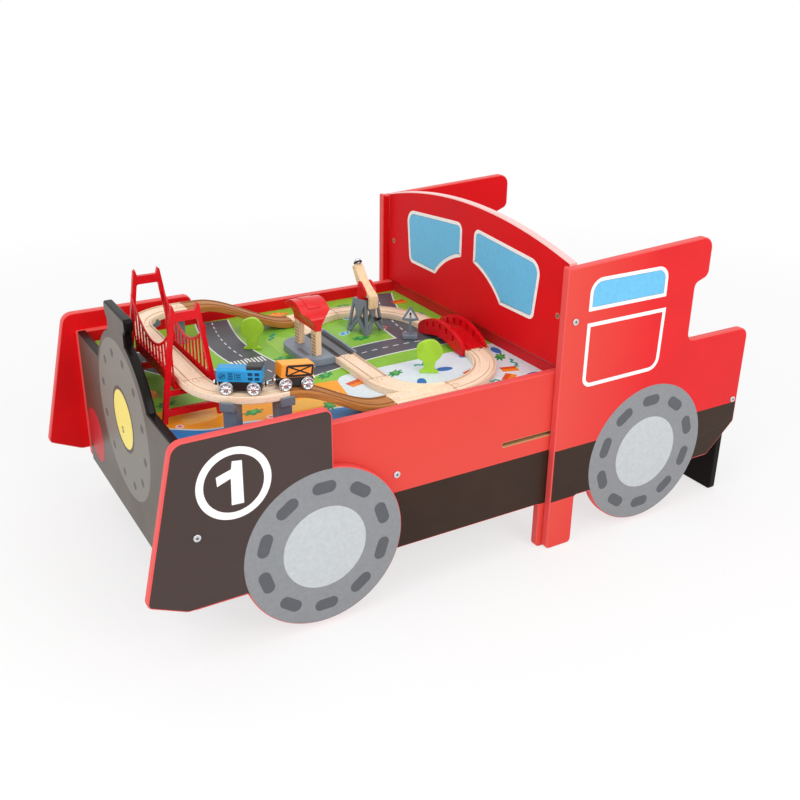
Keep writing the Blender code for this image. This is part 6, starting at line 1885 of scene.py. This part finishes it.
@dataclass
class Studio:
    """Camera, lamps, surroundings and floor."""

    position: tuple[float, float, float] = (-0.8794, -1.4862, 0.9817)
    yaw: float = math.radians(30.587)
    pitch: float = math.radians(23.774)
    roll: float = math.radians(0.679)
    lens: float = 44.54
    shift: tuple[float, float] = (0.00616, -0.00906)
    fill: float = 0.62
    lamps: tuple[tuple[str, tuple[float, float, float], float, float], ...] = (
        ("near_soft_box", (0.5, -2.6, 1.7), 28.0, 1.6), ("top_soft_box", (-0.2, -0.2, 2.6), 18.0, 2.4),
        ("front_soft_box", (-2.5, -1.0, 1.5), 21.0, 1.4))
    target: tuple[float, float, float] = (0.0, 0.0, 0.25)
    floor_reach: float = 30.0
    floor_z: float = -0.0006

    def camera(self) -> None:
        """A camera at the photograph's angle: yaw about the vertical, pitch down, then roll."""
        sy, cy, sp, cp = math.sin(self.yaw), math.cos(self.yaw), math.sin(self.pitch), math.cos(self.pitch)
        ahead = Vector((sy * cp, cy * cp, -sp))
        right = Vector((cy, -sy, 0.0))
        up = right.cross(ahead)
        sr, cr = math.sin(self.roll), math.cos(self.roll)
        right, up = cr * right + sr * up, -sr * right + cr * up
        data = bpy.data.cameras.new("picture_camera")
        data.lens = self.lens
        data.sensor_width = 36.0
        data.shift_x, data.shift_y = self.shift
        data.clip_start, data.clip_end = 0.05, 30.0
        camera = bpy.data.objects.new("picture_camera", data)
        turn = Matrix((right, up, -ahead)).transposed().to_4x4()
        camera.matrix_world = Matrix.Translation(self.position) @ turn
        bpy.context.scene.collection.objects.link(camera)
        bpy.context.scene.camera = camera

    def lamp(self, name: str, place: tuple[float, float, float], power: float, size: float) -> None:
        """A square soft box that looks at the middle of the table."""
        data = bpy.data.lights.new(name, "AREA")
        data.energy = power
        data.size = size
        lamp = bpy.data.objects.new(name, data)
        aim = Vector(self.target) - Vector(place)
        lamp.matrix_world = Matrix.Translation(place) @ aim.to_track_quat("-Z", "Y").to_matrix().to_4x4()
        bpy.context.scene.collection.objects.link(lamp)

    def surroundings(self) -> None:
        """White to the camera and to reflections, a soft grey fill for everything else."""
        world = bpy.data.worlds.new("studio_surroundings")
        bpy.context.scene.world = world
        world.use_nodes = True
        recipe = Recipe(world.node_tree)
        strength = recipe.add(Kind.RANGE, (recipe.looked_at(), 0.0, 1.0, self.fill, 1.0))
        recipe.fill(world.node_tree.nodes["Background"], {"Color": (1.0, 1.0, 1.0, 1.0), "Strength": strength})

    def build(self) -> None:
        """Sets up the whole studio."""
        self.camera()
        self.surroundings()
        for lamp in self.lamps:
            self.lamp(*lamp)
        reach = self.floor_reach
        sheet = rectangle(-reach, -reach, reach, reach)
        mesh = bpy.data.meshes.new("floor_paper")
        mesh.from_pydata(Plane.XY.points(sheet, self.floor_z).tolist(), [], [[0, 1, 2, 3]])
        mesh.materials.append(Paper("seamless_paper", "#f7f7f7").material())
        floor = bpy.data.objects.new("floor_paper", mesh)
        bpy.context.scene.collection.objects.link(floor)
        bpy.context.scene.view_settings.view_transform = "Standard"


# ---------------------------------------------------------------- the whole


def main() -> None:
    """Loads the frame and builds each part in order."""
    logging.basicConfig(level=logging.INFO, format="%(message)s")
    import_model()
    boards = TableBoards()
    for assembly in (boards, BoardPrints(boards), PlayMap(), Railway(), Piers(), Station(), Crane(), Scenery(),
                     Train(), Hardware(), Studio()):
        assembly.build()


if __name__ == "__main__":
    main()
